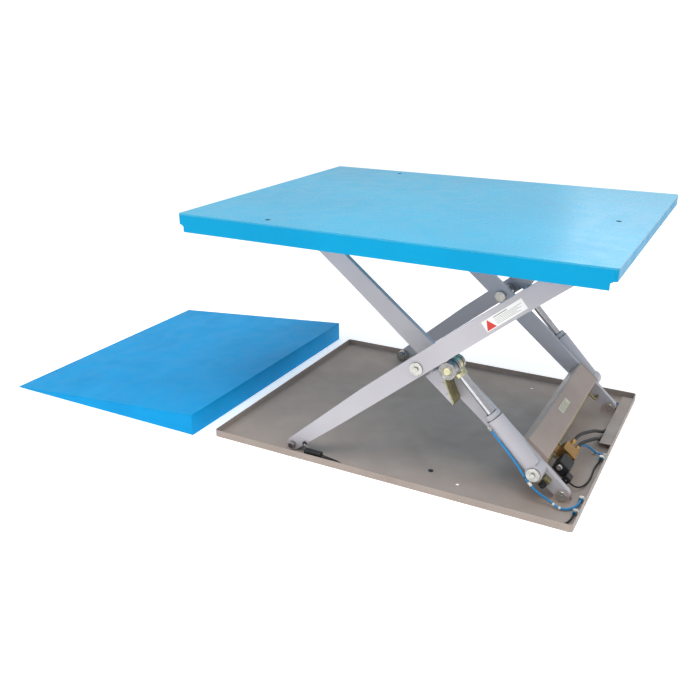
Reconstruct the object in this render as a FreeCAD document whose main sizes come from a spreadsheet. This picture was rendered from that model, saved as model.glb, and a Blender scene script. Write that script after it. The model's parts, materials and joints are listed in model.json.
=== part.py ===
import FreeCAD, Part
import math
import os
import re

from FreeCAD import Placement, Rotation, Vector

# Low-profile scissor lift table with a drive-up ramp. Millimetres, +Z up.
# The origin is on the floor under the middle of the base tray. X runs along the table from the
# ramp to the hose end, Y across it. The near side is -Y. The table stands raised to deck_height.

SIZES = """
deck_length 1450        deck_width 1140         deck_sheet 6            deck_shift -11
deck_height 845         end_skirt 37.5          side_skirt 63           skirt_sheet 5
skirt_notch 19          tray_length 1340        tray_width 1076         tray_sheet 3
tray_rim 26             tray_corner 12          pivot_x 597             base_pivot 28
deck_drop 39            half_arm 613            closed_height 85        top_height 860
arm_sheet 20            outer_arm_y 476         inner_arm_y 360         arm_end 24
outer_low -27.5         outer_high 38.3         inner_low -28           inner_high 40.5
eye_bore 12.56          centre_bore 22          centre_pin 17           roller_radius 24.7
roller_width 28         roller_gap 2            axle_radius 12          box_u 409
box_width 94            box_low -26             box_high 43             box_wall 5
foot_u 496              foot_v 8                ram_y 410               rest_reach 426.6
rest_tilt 7.18          closed_reach 315        closed_tilt -0.5        cam_roller 30
cam_gap 0.6             cam_width 60            wedge_top_u 48          wedge_top_v 31
wedge_tip_u 166         wedge_tip_v -30         wedge_base_u 36         cam_plate 8
barrel_radius 29        barrel_bore 20          barrel_length 214       gland_length 18
rod_radius 14           rod_length 240          foot_pin 14.95          foot_bore 15
pin_radius 12.95        ramp_low_x -1683        ramp_high_x -747        ramp_width 1146
ramp_height 84          ramp_sheet 6            manifold_u 524          manifold_y -236
manifold_long 55        manifold_wide 60        manifold_deep 38        pipe_u 517
pipe_v -6               pipe_radius 5           hose_radius 6           tube_radius 4
cord_radius 3           rib_deep 22             rib_sheet 8             rail_deep 8
rail_wide 32            lug_sheet 6             deck_lug 8              washer_radius 22
cover_length 444        shelf_long 68           switch_long 68          switch_wide 22
"""

doc = FreeCAD.newDocument("scissor_lift_table")
sheet = doc.addObject("Spreadsheet::Sheet", "Sheet")
names = re.findall(r"([a-z_]+) +(-?[0-9.]+)", SIZES)
for row, (name, number) in enumerate(names, start=1):
    sheet.set(f"A{row}", name)
    sheet.set(f"B{row}", number)
    sheet.setAlias(f"B{row}", name)
doc.recompute()
d = {name: float(sheet.get(name)) for name, number in names}

parts = []


def cells(text):
    """The expression with each of its words read from the sheet."""
    return re.sub(r"[a-z]\w*", lambda word: "Sheet." + word.group(), text)


def keep(label, shape_object, placement=None):
    """Name a finished sub-part and put it in its place."""
    shape_object.Label = label
    if placement:
        shape_object.Placement = placement
    parts.append(shape_object)
    return shape_object


def box(name, length, width, height, corner):
    solid = doc.addObject("Part::Box", name)
    for side, text in (("Length", length), ("Width", width), ("Height", height)):
        solid.setExpression(side, cells(text))
    solid.Placement.Base = Vector(*corner)
    return solid


TURNS = {"x": Rotation(Vector(0, 1, 0), 90), "y": Rotation(Vector(1, 0, 0), -90), "z": Rotation()}


def rod(name, radius, height, start, along="y"):
    """A cylinder that starts at a point and runs in +X, +Y or +Z."""
    solid = doc.addObject("Part::Cylinder", name)
    solid.setExpression("Radius", cells(radius))
    solid.setExpression("Height", cells(height))
    solid.Placement = Placement(Vector(*start), TURNS[along])
    return solid


def cut(name, base, *tools):
    solid = doc.addObject("Part::Cut", name)
    solid.Base = base
    solid.Tool = tools[0] if len(tools) == 1 else fuse(name + "_tools", *tools)
    return solid


def fuse(name, *shapes):
    solid = doc.addObject("Part::MultiFuse", name)
    solid.Shapes = list(shapes)
    return solid


def group(name, *shapes):
    bundle = doc.addObject("Part::Compound", name)
    bundle.Links = list(shapes)
    return bundle


def far_side(shape_object):
    """The same piece on the other side of the table's middle plane."""
    twin = doc.addObject("Part::Mirroring", shape_object.Name + "_far")
    twin.Source = shape_object
    twin.Normal = Vector(0, 1, 0)
    return twin


def round_edges(name, solid, radius, chosen):
    """Round the edges of a solid that a test picks out."""
    doc.recompute()
    fillet = doc.addObject("Part::Fillet", name)
    fillet.Base = solid
    fillet.Edges = [(number, radius, radius) for number, edge in enumerate(solid.Shape.Edges, 1)
                    if chosen(edge)]
    return fillet


def upright(edge):
    ends = [vertex.Point for vertex in edge.Vertexes]
    return len(ends) == 2 and abs(ends[0].x - ends[1].x) + abs(ends[0].y - ends[1].y) < 1e-6


def padded(name, outline, thickness, bores=()):
    """A flat piece cut to an outline in X and Z, with its far face on Y = 0."""
    body = doc.addObject("PartDesign::Body", name)
    sketch = body.newObject("Sketcher::SketchObject", name + "_outline")
    plane = [feature for feature in body.Origin.OriginFeatures if feature.Role == "XZ_Plane"][0]
    sketch.AttachmentSupport = [(plane, "")]
    sketch.MapMode = "FlatFace"
    for edge in outline:
        sketch.addGeometry(edge, False)
    for u, v, radius in bores:
        sketch.addGeometry(Part.Circle(Vector(u, v, 0), Vector(0, 0, 1), radius), False)
    pad = body.newObject("PartDesign::Pad", name + "_pad")
    pad.Profile = sketch
    pad.setExpression("Length", cells(thickness))
    return body


def polygon(*corners):
    points = [Vector(x, z, 0) for x, z in corners]
    return [Part.LineSegment(a, b) for a, b in zip(points, points[1:] + points[:1])]


def featured(name, shape, placement=None):
    solid = doc.addObject("Part::Feature", name)
    solid.Shape = shape
    if placement:
        solid.Placement = placement
    return solid


# --- where the scissor stands -------------------------------------------------------------------


def lift_angle(height):
    return math.asin((height - d["base_pivot"] - d["deck_drop"]) / (2 * d["half_arm"]))


REST = lift_angle(d["deck_height"])
CLOSED = lift_angle(d["closed_height"])
TOP = lift_angle(d["top_height"])
CENTRE = Vector(d["pivot_x"] - d["half_arm"] * math.cos(REST), 0,
                d["base_pivot"] + d["half_arm"] * math.sin(REST))
Y_AXIS = Vector(0, 1, 0)
# Arm frames start at the centre pivot. Local X runs along the arm towards the hose end, local Z
# to its upper side: the inner arms fall that way and the outer arms rise.
INNER = Placement(CENTRE, Rotation(Y_AXIS, math.degrees(REST)))
OUTER = Placement(CENTRE, Rotation(Y_AXIS, -math.degrees(REST)))


def shifted(placement, x=0, y=0, z=0):
    return placement.multiply(Placement(Vector(x, y, z), Rotation()))


# --- base tray -----------------------------------------------------------------------------------

half_tray = d["tray_length"] / 2
half_width = d["tray_width"] / 2
tray_block = box("tray_block", "tray_length", "tray_width", "tray_rim", (-half_tray, -half_width, 0))
tray_well = box("tray_well", "tray_length - 2 * tray_sheet", "tray_width - 2 * tray_sheet", "tray_rim",
                (d["tray_sheet"] - half_tray, d["tray_sheet"] - half_width, d["tray_sheet"]))
tray_block = round_edges("tray_block_round", tray_block, d["tray_corner"], upright)
tray_well = round_edges("tray_well_round", tray_well, d["tray_corner"] - d["tray_sheet"], upright)
ANCHORS = [(262, -440), (262, 440)]
anchor_holes = [rod(f"anchor_hole_{n}", "tray_sheet * 2.2", "tray_sheet * 3", (x, y, -3), "z")
                for n, (x, y) in enumerate(ANCHORS)]
drain = rod("drain_hole", "tray_sheet * 3", "tray_sheet * 3", (149, -400, -3), "z")
FITTINGS = (-440, -356, -54, -30, 356)
FITTING_Z = 15
tray_ports = [rod(f"tray_port_{n}", "hose_radius + 1.05", "tray_sheet * 3",
                  (half_tray - 6, y, FITTING_Z), "x") for n, y in enumerate(FITTINGS)]
keep("base_tray", cut("tray", tray_block, tray_well, drain, *anchor_holes, *tray_ports))

# A folded strip over the hose run along the hose end rim, open towards the table's middle.
cover_outer = half_tray - d["tray_sheet"] - 0.5
profile = polygon((626, 25), (626, 23), (cover_outer - 2, 23), (cover_outer - 2, d["tray_sheet"]),
                  (cover_outer, d["tray_sheet"]), (cover_outer, 25))
cover = padded("rim_cover_sheet", profile, "cover_length")
cover.Placement.Base.y = 482
cover_port = rod("cover_port", "hose_radius + 3", "9", (half_tray - 9, FITTINGS[-1], FITTING_Z), "x")
keep("rim_cover", cut("rim_cover_cut", cover, cover_port))

# Lugs welded to the tray hold the inner arms' fixed pins.
lug_outline = polygon((-34, 3 - d["base_pivot"]), (28, 3 - d["base_pivot"]), (14, 17), (-14, 17))
lugs = []
for n, face in enumerate((d["inner_arm_y"] - 2, d["inner_arm_y"] + d["arm_sheet"] + 2 + d["lug_sheet"])):
    lug = padded(f"base_lug_{n}", lug_outline, "lug_sheet", [(0, 0, d["pin_radius"] + 0.02)])
    lug.Placement = Placement(Vector(d["pivot_x"], face, d["base_pivot"]), Rotation())
    lugs += [lug, far_side(lug)]
keep("pivot_brackets", group("pivot_lugs", *lugs))

pin_start = (d["pivot_x"], d["inner_arm_y"] - 12, d["base_pivot"])
pin = rod("base_pin", "pin_radius", "arm_sheet + 24", pin_start)
pin_head = rod("base_pin_head", "pin_radius + 4", "lug_sheet",
               (d["pivot_x"], d["inner_arm_y"] + d["arm_sheet"] + 8.1, d["base_pivot"]))
base_pin = fuse("base_pin_whole", pin, pin_head)
keep("pivot_pins", group("base_pins", base_pin, far_side(base_pin)))

bolt_foot = Vector(624, -10, d["tray_sheet"])
keep("tray_bolt", fuse("earth_bolt", rod("earth_washer", "tray_sheet * 4", "2", bolt_foot, "z"),
                       rod("earth_head", "tray_sheet * 2.7", "7", bolt_foot + Vector(0, 0, 2), "z")))

# Bulkhead fittings where the tubes and cables leave through the hose end rim. Four are elbows with
# a square knuckle, whose mouths look along the rim, and the return tube's is straight. The first,
# for the switch cable, is a gland that ends nearly flush outside.
MOUTHS = (-452, -368, -66, None, 368)
fittings = []
for n, (y, mouth) in enumerate(zip(FITTINGS, MOUTHS)):
    start = Vector(half_tray - 16, y, FITTING_Z)
    pieces = [rod(f"fitting_{n}", "hose_radius + 1", "19", start, "x"),
              rod(f"fitting_nut_{n}", "hose_radius + 1.8", "4", start + Vector(8.5, 0, 0), "x")]
    if mouth is not None:
        pieces.append(box(f"fitting_knuckle_{n}", "15", "15", "15", start - Vector(7.5, 7.5, 7.5)))
        pieces.append(rod(f"fitting_mouth_{n}", "hose_radius + 0.5", str(abs(mouth - y)),
                          (start.x, min(y, mouth), FITTING_Z)))
    fittings.append(fuse(f"fitting_whole_{n}", *pieces))
keep("rim_fittings", group("rim_fitting_set", *fittings))

# The limit switch stops the lift at the top: its lever waits for the roller axle's end.
case = box("switch_case", "switch_long", "switch_wide", "28", (-286, -530, 7))
foot = box("switch_foot", "switch_long + 12", "switch_wide + 2", "4", (-292, -530, 3))
boot = doc.addObject("Part::Cone", "switch_boot")
boot.Radius1, boot.Radius2, boot.Height = 9, 4.2, 46
boot.Placement = Placement(Vector(d["switch_long"] - 286, -519, 20), TURNS["x"])
keep("limit_switch", fuse("switch_whole", case, foot, boot))

LEVER_PIVOT = Vector(-274, -508, 28)
LEVER_TIP = Vector(-298, -508, 44)
lever_length = (LEVER_TIP - LEVER_PIVOT).Length
lever_arm = fuse("lever_arm", box("lever_bar", "29", "3", "7", (0, 0.3, -3.5)),
                 rod("lever_hub", "7", "3", (0, 0.3, 0)),
                 rod("lever_roller", "8.5", "6", (lever_length, 3.3, 0)))
lever_tilt = math.degrees(math.atan2(LEVER_TIP.z - LEVER_PIVOT.z, LEVER_PIVOT.x - LEVER_TIP.x))
keep("limit_lever", lever_arm, Placement(LEVER_PIVOT, Rotation(Y_AXIS, 180 + lever_tilt)))


# --- hoses, tubes and cables -----------------------------------------------------------------------


def cord(name, radius, points, placement=None):
    """A tube along straight runs joined by tangent arcs. Returns a closed solid."""
    points = [Vector(*point) for point in points]
    ends = [points[0]]
    edges, radii = [], []
    for before, corner, after in zip(points, points[1:], points[2:]):
        back, ahead = (before - corner), (after - corner)
        turn = math.pi - back.getAngle(ahead)
        trim = 0.45 * min(back.Length, ahead.Length)
        radii.append(trim / math.tan(turn / 2))
        back.normalize()
        ahead.normalize()
        start, end = corner + back * trim, corner + ahead * trim
        inward = (back + ahead).normalize()
        middle = corner + inward * (radii[-1] / math.cos(turn / 2) - radii[-1])
        edges.append(Part.LineSegment(ends[-1], start).toShape())
        edges.append(Part.Arc(start, middle, end).toShape())
        ends.append(end)
    edges.append(Part.LineSegment(ends[-1], points[-1]).toShape())
    path = Part.Wire(edges)
    first = points[1] - points[0]
    section = Part.Wire([Part.Circle(points[0], first, radius).toShape()])
    tube = path.makePipeShell([section], True, False)
    error = tube.Volume / (math.pi * radius ** 2 * path.Length) - 1
    print(f"{name}: length {path.Length:.0f}, radii {[round(r) for r in radii]}, volume error {error:.4f}")
    return featured(name, tube, placement)


BLEED_ROUTE = [(510.8, -443.8, 69.3), (524.4, -443.8, 55), (546, -434, 38), (572, -431, 22),
               (600, -440, 12), (626, -434, 10), (643, -414, 11), (653, -396, 14), (654, -381, 15),
               (654, -368, 15)]
bleed = cord("bleed_loop", d["tube_radius"], BLEED_ROUTE)
keep("bleed_loops", group("bleed_loop_pair", bleed, far_side(bleed)))

PRESSURE_ROUTES = [
    [(568.3, -128, 95.4), (568.3, -102, 95.4), (575, -58, 92), (588, -4, 78), (603, 56, 60),
     (615, 108, 35), (619, 146, 17), (629, 190, 12.8), (641, 228, 12.6), (645, 262, 12.6)],
    [(584.7, -140, 79.3), (584.7, -114, 79.3), (592, -78, 74), (604, -26, 60), (615, 30, 43),
     (619, 68, 22), (623, 100, 13.4), (634, 140, 12.8), (644, 180, 12.6)]]
hoses = [cord(f"pressure_hose_{n}", d["hose_radius"], route) for n, route in enumerate(PRESSURE_ROUTES)]
keep("pressure_hoses", group("pressure_hose_pair", *hoses))

RETURN_ROUTE = [(574.4, -152, 62), (574.4, -128, 62), (580, -88, 60), (592, -56, 52), (606, -38, 38),
                (622, -30, 22), (638, -30, 15), (654, -30, 15)]
keep("return_tube", cord("return_loop", d["tube_radius"], RETURN_ROUTE))

VALVE_ROUTE = [(603.1, -322, 44.8), (613.9, -322, 35.9), (630, -304, 21), (642, -268, 12), (648, -226, 7),
               (649, -180, 6.5), (646, -140, 6.5), (648, -108, 9), (654, -86, 15), (654, -66, 15)]
keep("valve_cable", cord("valve_lead", d["cord_radius"], VALVE_ROUTE))

SWITCH_ROUTE = [(-172, -519, 20), (-158, -519, 20), (-130, -520.5, 11), (-92, -525, 7),
                (-50, -528, 6.5), (0, -528.5, 6.2), (50, -528, 6.5), (100, -528.6, 6.2),
                (150, -528, 6.5), (200, -528.6, 6.2), (250, -528, 6.5), (300, -528.6, 6.2),
                (350, -528, 6.5), (400, -528.6, 6.2), (450, -528, 6.5), (500, -528.6, 6.2),
                (548, -528, 6.5), (592, -527, 6.4), (626, -521, 6.6), (645, -504, 8),
                (653, -484, 13), (654, -466, 15), (654, -452, 15)]
keep("switch_cable", cord("switch_lead", d["cord_radius"], SWITCH_ROUTE))


# --- inner arms: a frame that turns on the base pins ------------------------------------------------


def arm_outline(low, high, low_level, high_level, facing):
    """An arm's outline. Its low end is at local right, or left if facing is -1. There the closed
    table's floor is nearest, and at the other end its deck, so the bar is level only up to
    low_level underneath and high_level on top, and its ends taper to rounded eyes."""
    reach, small, large = d["half_arm"], d["arm_end"], d["arm_end"] + 7
    points = [(-reach, -large), (-400, low), (low_level, low), (reach, -small),
              (reach, small), (230, high), (-high_level, high), (-reach, large)]
    points = [Vector(facing * u, v, 0) for u, v in points]
    tips = [Vector(facing * (reach + small), 0, 0), Vector(-facing * (reach + large), 0, 0)]
    edges = [Part.LineSegment(points[n], points[n + 1]) for n in (0, 1, 2, 4, 5, 6)]
    edges.insert(3, Part.Arc(points[3], tips[0], points[4]))
    edges.append(Part.Arc(points[7], tips[1], points[0]))
    return edges


inner_outline = arm_outline(d["inner_low"], d["inner_high"], 360, 60, 1)
inner_bores = [(-d["half_arm"], 0, d["eye_bore"]), (0, 0, d["centre_pin"]),
               (d["half_arm"], 0, d["pin_radius"] + 0.05)]
inner_near = padded("inner_near", inner_outline, "arm_sheet", inner_bores)
keep("inner_arm_near", inner_near, shifted(INNER, y=-d["inner_arm_y"]))
inner_far = padded("inner_far", inner_outline, "arm_sheet", inner_bores)
keep("inner_arm_far", inner_far, shifted(INNER, y=d["inner_arm_y"] + d["arm_sheet"]))

torsion_outer = box("torsion_outer", "box_width", "2 * inner_arm_y", "box_high - box_low",
                    (d["box_u"], -d["inner_arm_y"], d["box_low"]))
torsion_outer = round_edges("torsion_round", torsion_outer, 7,
                            lambda edge: abs(edge.Vertexes[0].Y - edge.Vertexes[-1].Y) > 1)
torsion_inner = box("torsion_inner", "box_width - 2 * box_wall", "2 * inner_arm_y",
                    "box_high - box_low - 2 * box_wall",
                    (d["box_u"] + d["box_wall"], -d["inner_arm_y"], d["box_low"] + d["box_wall"]))
keep("torsion_box", cut("torsion_tube", torsion_outer, torsion_inner), INNER)

# --- the wedge drive: rollers on the ram heads run between two cams ---------------------------------


def ram_head(share):
    """The ram head's place in the inner arm's frame: 0 is the closed table, 1 the table at rest."""
    reach = d["closed_reach"] + share * (d["rest_reach"] - d["closed_reach"])
    tilt = math.radians(d["closed_tilt"] + share * (d["rest_tilt"] - d["closed_tilt"]))
    return Vector(d["foot_u"] - reach * math.cos(tilt), d["foot_v"] + reach * math.sin(tilt), 0)


def ram_head_outer(share):
    """The same place seen from the outer arm's frame."""
    opening = 2 * (CLOSED + share * (REST - CLOSED))
    head = ram_head(share)
    return Vector(head.x * math.cos(opening) + head.y * math.sin(opening),
                  head.y * math.cos(opening) - head.x * math.sin(opening), 0)


def smooth(points):
    curve = Part.BSplineCurve()
    curve.interpolate(points)
    return curve


def slab(name, edges, y_far, width):
    """A flat piece with curved edges drawn in X and Z, from y_far - width to y_far."""
    wire = Part.Wire([edge.toShape() for edge in edges])
    face = Part.Face(wire)
    face.rotate(Vector(), Vector(1, 0, 0), 90)
    solid = face.extrude(Vector(0, -width, 0))
    solid.translate(Vector(0, y_far, 0))
    return featured(name, solid)


wedge_corners = [(d["wedge_base_u"], d["wedge_tip_v"]), (d["wedge_tip_u"], d["wedge_tip_v"]),
                 (d["wedge_top_u"], d["wedge_top_v"])]
wedge = padded("wedge_near", polygon(*wedge_corners), "cam_width")
wedge.Placement.Base.y = -d["inner_arm_y"] - d["arm_sheet"]
keep("lower_cams", group("wedge_pair", wedge, far_side(wedge)), INNER)

wedge_top = Vector(d["wedge_top_u"], d["wedge_top_v"], 0)
wedge_tip = Vector(d["wedge_tip_u"], d["wedge_tip_v"], 0)
gap_radius = d["cam_roller"] + d["cam_gap"]
cam_points = []
for share in [1.08 - 0.2 * n for n in range(6)]:
    along = (ram_head(share + 0.01) - ram_head(share - 0.01)).normalize()
    cam_points.append(ram_head(share) + Vector(-along.y, along.x, 0) * gap_radius)
cam_curve = smooth(cam_points)
plate_edges = [cam_curve, Part.LineSegment(cam_points[-1], wedge_tip),
               Part.LineSegment(wedge_tip, wedge_top), Part.LineSegment(wedge_top, cam_points[0])]
cam_plate = slab("cam_plate_near", plate_edges, -d["inner_arm_y"] - d["arm_sheet"], d["cam_width"])
keep("cam_plates", group("cam_plate_pair", cam_plate, far_side(cam_plate)), INNER)

UPPER_CAM_WIDTH = 30


def highest_reach(u):
    """How high the rollers come at this place along the outer arm, over the whole lift."""
    heads = [ram_head_outer(0.03 * n) for n in range(-1, 36)]
    return max(head.y + math.sqrt(gap_radius ** 2 - (u - head.x) ** 2) for head in heads
               if abs(u - head.x) < gap_radius)


upper_points = [Vector(u, highest_reach(u), 0) for u in range(58, 157, 7)]
upper_curve = smooth(upper_points)
cam_roof = d["outer_high"] - 3
corners = [upper_points[-1], Vector(upper_points[-1].x + 6, cam_roof, 0),
           Vector(upper_points[0].x - 14, cam_roof, 0), upper_points[0]]
upper_edges = [upper_curve] + [Part.LineSegment(a, b) for a, b in zip(corners, corners[1:])]
upper_cam = slab("upper_cam_near", upper_edges, -d["outer_arm_y"] + UPPER_CAM_WIDTH, UPPER_CAM_WIDTH)
keep("upper_cams", group("upper_cam_pair", upper_cam, far_side(upper_cam)), OUTER)

# Screws in each wedge block's outer face hold the cam plate's backing strip.
slope = wedge_tip - wedge_top
slope_length = slope.Length
slope.normalize()
inward = Vector(slope.y, -slope.x, 0)
screws = []
for n, share in enumerate((0.12, 0.4, 0.68)):
    place = wedge_top + slope * (share * slope_length) + inward * 8
    screw = rod(f"cam_screw_{n}", "4", "2.5",
                (place.x, -d["inner_arm_y"] - d["arm_sheet"] - d["cam_width"] - 2.5, place.y))
    screws += [screw, far_side(screw)]
keep("cam_screws", group("cam_screw_set", *screws), INNER)

# Foot pins stand out of the inner arms and carry the cylinders; a disc and bolt hold each on.
foot_start = -d["inner_arm_y"] - d["arm_sheet"] - 62
foot_pin = fuse("foot_pin_near",
                rod("foot_shaft", "foot_pin", "62", (d["foot_u"], foot_start, d["foot_v"])),
                rod("foot_disc", "washer_radius + 1", "5", (d["foot_u"], foot_start - 5, d["foot_v"])),
                rod("foot_bolt", "10", "7", (d["foot_u"], foot_start - 12, d["foot_v"])))
keep("foot_pins", group("foot_pin_pair", foot_pin, far_side(foot_pin)), INNER)

# Centre pins are fixed in the inner arms and pass out through the outer arms' bushes.
pin_span = d["outer_arm_y"] + d["arm_sheet"] - d["inner_arm_y"] + 0.5
centre_pin = fuse("centre_pin_near",
                  rod("centre_shaft", "centre_pin", "%s" % (pin_span + 18),
                      (0, -d["outer_arm_y"] - d["arm_sheet"] - 0.5, 0)),
                  rod("centre_boss", "centre_bore", "18", (0, -d["inner_arm_y"], 0)),
                  rod("centre_spacer", "centre_bore", "%s" % (d["outer_arm_y"] - d["inner_arm_y"]
                                                               - d["arm_sheet"] - 0.5),
                      (0, -d["outer_arm_y"] + 0.5, 0)),
                  rod("centre_disc", "washer_radius", "5", (0, -d["outer_arm_y"] - d["arm_sheet"] - 5.5, 0)),
                  rod("centre_bolt", "10", "6", (0, -d["outer_arm_y"] - d["arm_sheet"] - 11.5, 0)))
keep("centre_pins", group("centre_pin_pair", centre_pin, far_side(centre_pin)), INNER)

# Axles of the deck rollers, inside the inner arms' upper ends.
deck_axle = fuse("deck_axle_near",
                 rod("deck_axle_shaft", "axle_radius", "arm_sheet + 36",
                     (-d["half_arm"], -d["inner_arm_y"] - d["arm_sheet"], 0)),
                 rod("deck_axle_shoulder", "eye_bore - 0.01", "arm_sheet",
                     (-d["half_arm"], -d["inner_arm_y"] - d["arm_sheet"], 0)),
                 rod("deck_axle_cap", "axle_radius + 4", "3", (-d["half_arm"], -d["inner_arm_y"] + 33, 0)))
keep("deck_axles", group("deck_axle_pair", deck_axle, far_side(deck_axle)), INNER)

# Hydraulic manifold on the torsion box, with its solenoid valve and steel pipes.
manifold_top = d["box_high"] + 2
manifold = box("manifold", "manifold_long", "manifold_wide", "manifold_deep",
               (d["manifold_u"], d["manifold_y"], manifold_top - d["manifold_deep"]))
shelf = box("manifold_shelf", "shelf_long", "manifold_wide - 10", "4",
            (d["box_u"] + d["box_width"], d["manifold_y"] + 5, manifold_top - d["manifold_deep"] - 4))
keep("manifold_block", fuse("manifold_whole", manifold, shelf), INNER)

PORTS = [(548, 34, 8.5, 48), (571, 32, 8.5, 36), (574, 12, 6.5, 24)]
ports = [rod(f"manifold_port_{n}", str(radius), str(reach), (u, d["manifold_y"] + d["manifold_wide"], v))
         for n, (u, v, radius, reach) in enumerate(PORTS)]

valve = fuse("valve",
             rod("valve_stem", "15", "12", (560, d["manifold_y"] - 12, 22)),
             box("valve_coil", "46", "64", "42", (537, d["manifold_y"] - 76, 1)),
             rod("valve_nut", "10", "7", (552, d["manifold_y"] - 83, 24)),
             box("valve_plug", "24", "34", "26", (583, d["manifold_y"] - 94, 4)))
keep("solenoid_valve", round_edges("valve_round", valve, 3,
                                   lambda edge: upright(edge) and edge.Length > 20), INNER)


def bent_pipe(name, radius, points, bend):
    """A steel pipe with bends of one radius."""
    points = [Vector(*point) for point in points]
    edges, start = [], points[0]
    for before, corner, after in zip(points, points[1:], points[2:]):
        back = (before - corner).normalize()
        ahead = (after - corner).normalize()
        first, last = corner + back * bend, corner + ahead * bend
        middle = corner + (back + ahead).normalize() * bend * (math.sqrt(2) - 1)
        edges += [Part.LineSegment(start, first).toShape(), Part.Arc(first, middle, last).toShape()]
        start = last
    edges.append(Part.LineSegment(start, points[-1]).toShape())
    section = Part.Wire([Part.Circle(points[0], points[1] - points[0], radius).toShape()])
    return featured(name, Part.Wire(edges).makePipeShell([section], True, False))


pipe_height = d["pipe_v"]
far_pipe = bent_pipe("far_pipe", d["pipe_radius"],
                     [(d["manifold_u"] + 9, d["manifold_y"] + d["manifold_wide"], 13),
                      (d["manifold_u"] + 9, -150, 13), (d["manifold_u"] + 9, -150, pipe_height),
                      (d["pipe_u"], -150, pipe_height),
                      (d["pipe_u"], 322, pipe_height), (552, 322, pipe_height), (552, 360, pipe_height)], 7)
near_pipe_u = d["pipe_u"] - 1
near_pipe = bent_pipe("near_pipe", d["pipe_radius"],
                      [(near_pipe_u, -360, 6), (near_pipe_u, -252, 6), (531, -252, 6), (531, -236, 6)], 6.4)
keep("steel_pipes", group("pipe_pair", far_pipe, near_pipe), INNER)
union_rings = []
for n, place in enumerate(((552, 348.1, pipe_height), (near_pipe_u, -360, 6))):
    ring = rod(f"union_{n}", "pipe_radius + 4", "11.9", place)
    union_rings.append(cut(f"union_ring_{n}", ring, rod(f"union_hole_{n}", "pipe_radius", "11.9", place)))
keep("pipe_unions", group("pipe_union_set", *union_rings, *ports), INNER)

fuse_block = round_edges("fuse_round", box("fuse_block", "27", "24", "34",
                                           (530, -d["inner_arm_y"] - d["arm_sheet"] - 24, -23)), 4,
                         lambda edge: abs(edge.Vertexes[0].Y - edge.Vertexes[-1].Y) > 1)
keep("fuse_blocks", group("fuse_pair", fuse_block, far_side(fuse_block)), INNER)

# --- outer arms ---------------------------------------------------------------------------------

outer_outline = arm_outline(d["outer_low"], d["outer_high"], 380, 200, -1)
outer_bores = [(-d["half_arm"], 0, d["eye_bore"]), (0, 0, d["centre_bore"]),
               (d["half_arm"], 0, d["pin_radius"] + 0.05)]
outer_near = padded("outer_near", outer_outline, "arm_sheet", outer_bores)
keep("outer_arm_near", outer_near, shifted(OUTER, y=-d["outer_arm_y"]))
outer_far = padded("outer_far", outer_outline, "arm_sheet", outer_bores)
keep("outer_arm_far", outer_far, shifted(OUTER, y=d["outer_arm_y"] + d["arm_sheet"]))

bush_start = (0, -d["outer_arm_y"] - d["arm_sheet"], 0)
bush = cut("centre_bush", rod("bush_outside", "centre_bore", "arm_sheet", bush_start),
           rod("bush_bore", "centre_pin + 0.05", "arm_sheet", bush_start))
keep("centre_bushes", group("bush_pair", bush, far_side(bush)), OUTER)

base_axle = fuse("base_axle_near",
                 rod("base_axle_shaft", "axle_radius", "arm_sheet + 51",
                     (-d["half_arm"], -d["outer_arm_y"] - d["arm_sheet"] - 16, 0)),
                 rod("base_axle_shoulder", "eye_bore - 0.01", "arm_sheet",
                     (-d["half_arm"], -d["outer_arm_y"] - d["arm_sheet"], 0)),
                 rod("base_axle_cap", "axle_radius + 4", "3", (-d["half_arm"], -d["outer_arm_y"] + 33, 0)))
keep("base_axles", group("base_axle_pair", base_axle, far_side(base_axle)), OUTER)

# --- rollers ----------------------------------------------------------------------------------


def roller(label, centre, y_start):
    """A steel roller with a plain bore, running on its axle."""
    place = (centre.x, y_start, centre.z)
    wheel = rod(label + "_wheel", "roller_radius", "roller_width", place)
    bore = rod(label + "_bore", "axle_radius + 0.05", "roller_width", place)
    keep(label, cut(label + "_cut", wheel, bore))


base_roller_centre = OUTER.multVec(Vector(-d["half_arm"], 0, 0))
deck_roller_centre = INNER.multVec(Vector(-d["half_arm"], 0, 0))
base_roller_y = d["outer_arm_y"] - d["roller_gap"]
roller("base_roller_near", base_roller_centre, -base_roller_y)
roller("base_roller_far", base_roller_centre, base_roller_y - d["roller_width"])
deck_roller_y = d["inner_arm_y"] - d["roller_gap"]
roller("deck_roller_near", deck_roller_centre, -deck_roller_y)
roller("deck_roller_far", deck_roller_centre, deck_roller_y - d["roller_width"])

# --- cylinders and rams -------------------------------------------------------------------------
# A ram frame starts at the foot pin, with local X along the ram.


def ram_frame(side):
    inner_place = Placement(Vector(d["foot_u"], side * d["ram_y"], d["foot_v"]),
                            Rotation(Y_AXIS, 180 + d["rest_tilt"]))
    return INNER.multiply(inner_place)


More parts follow.
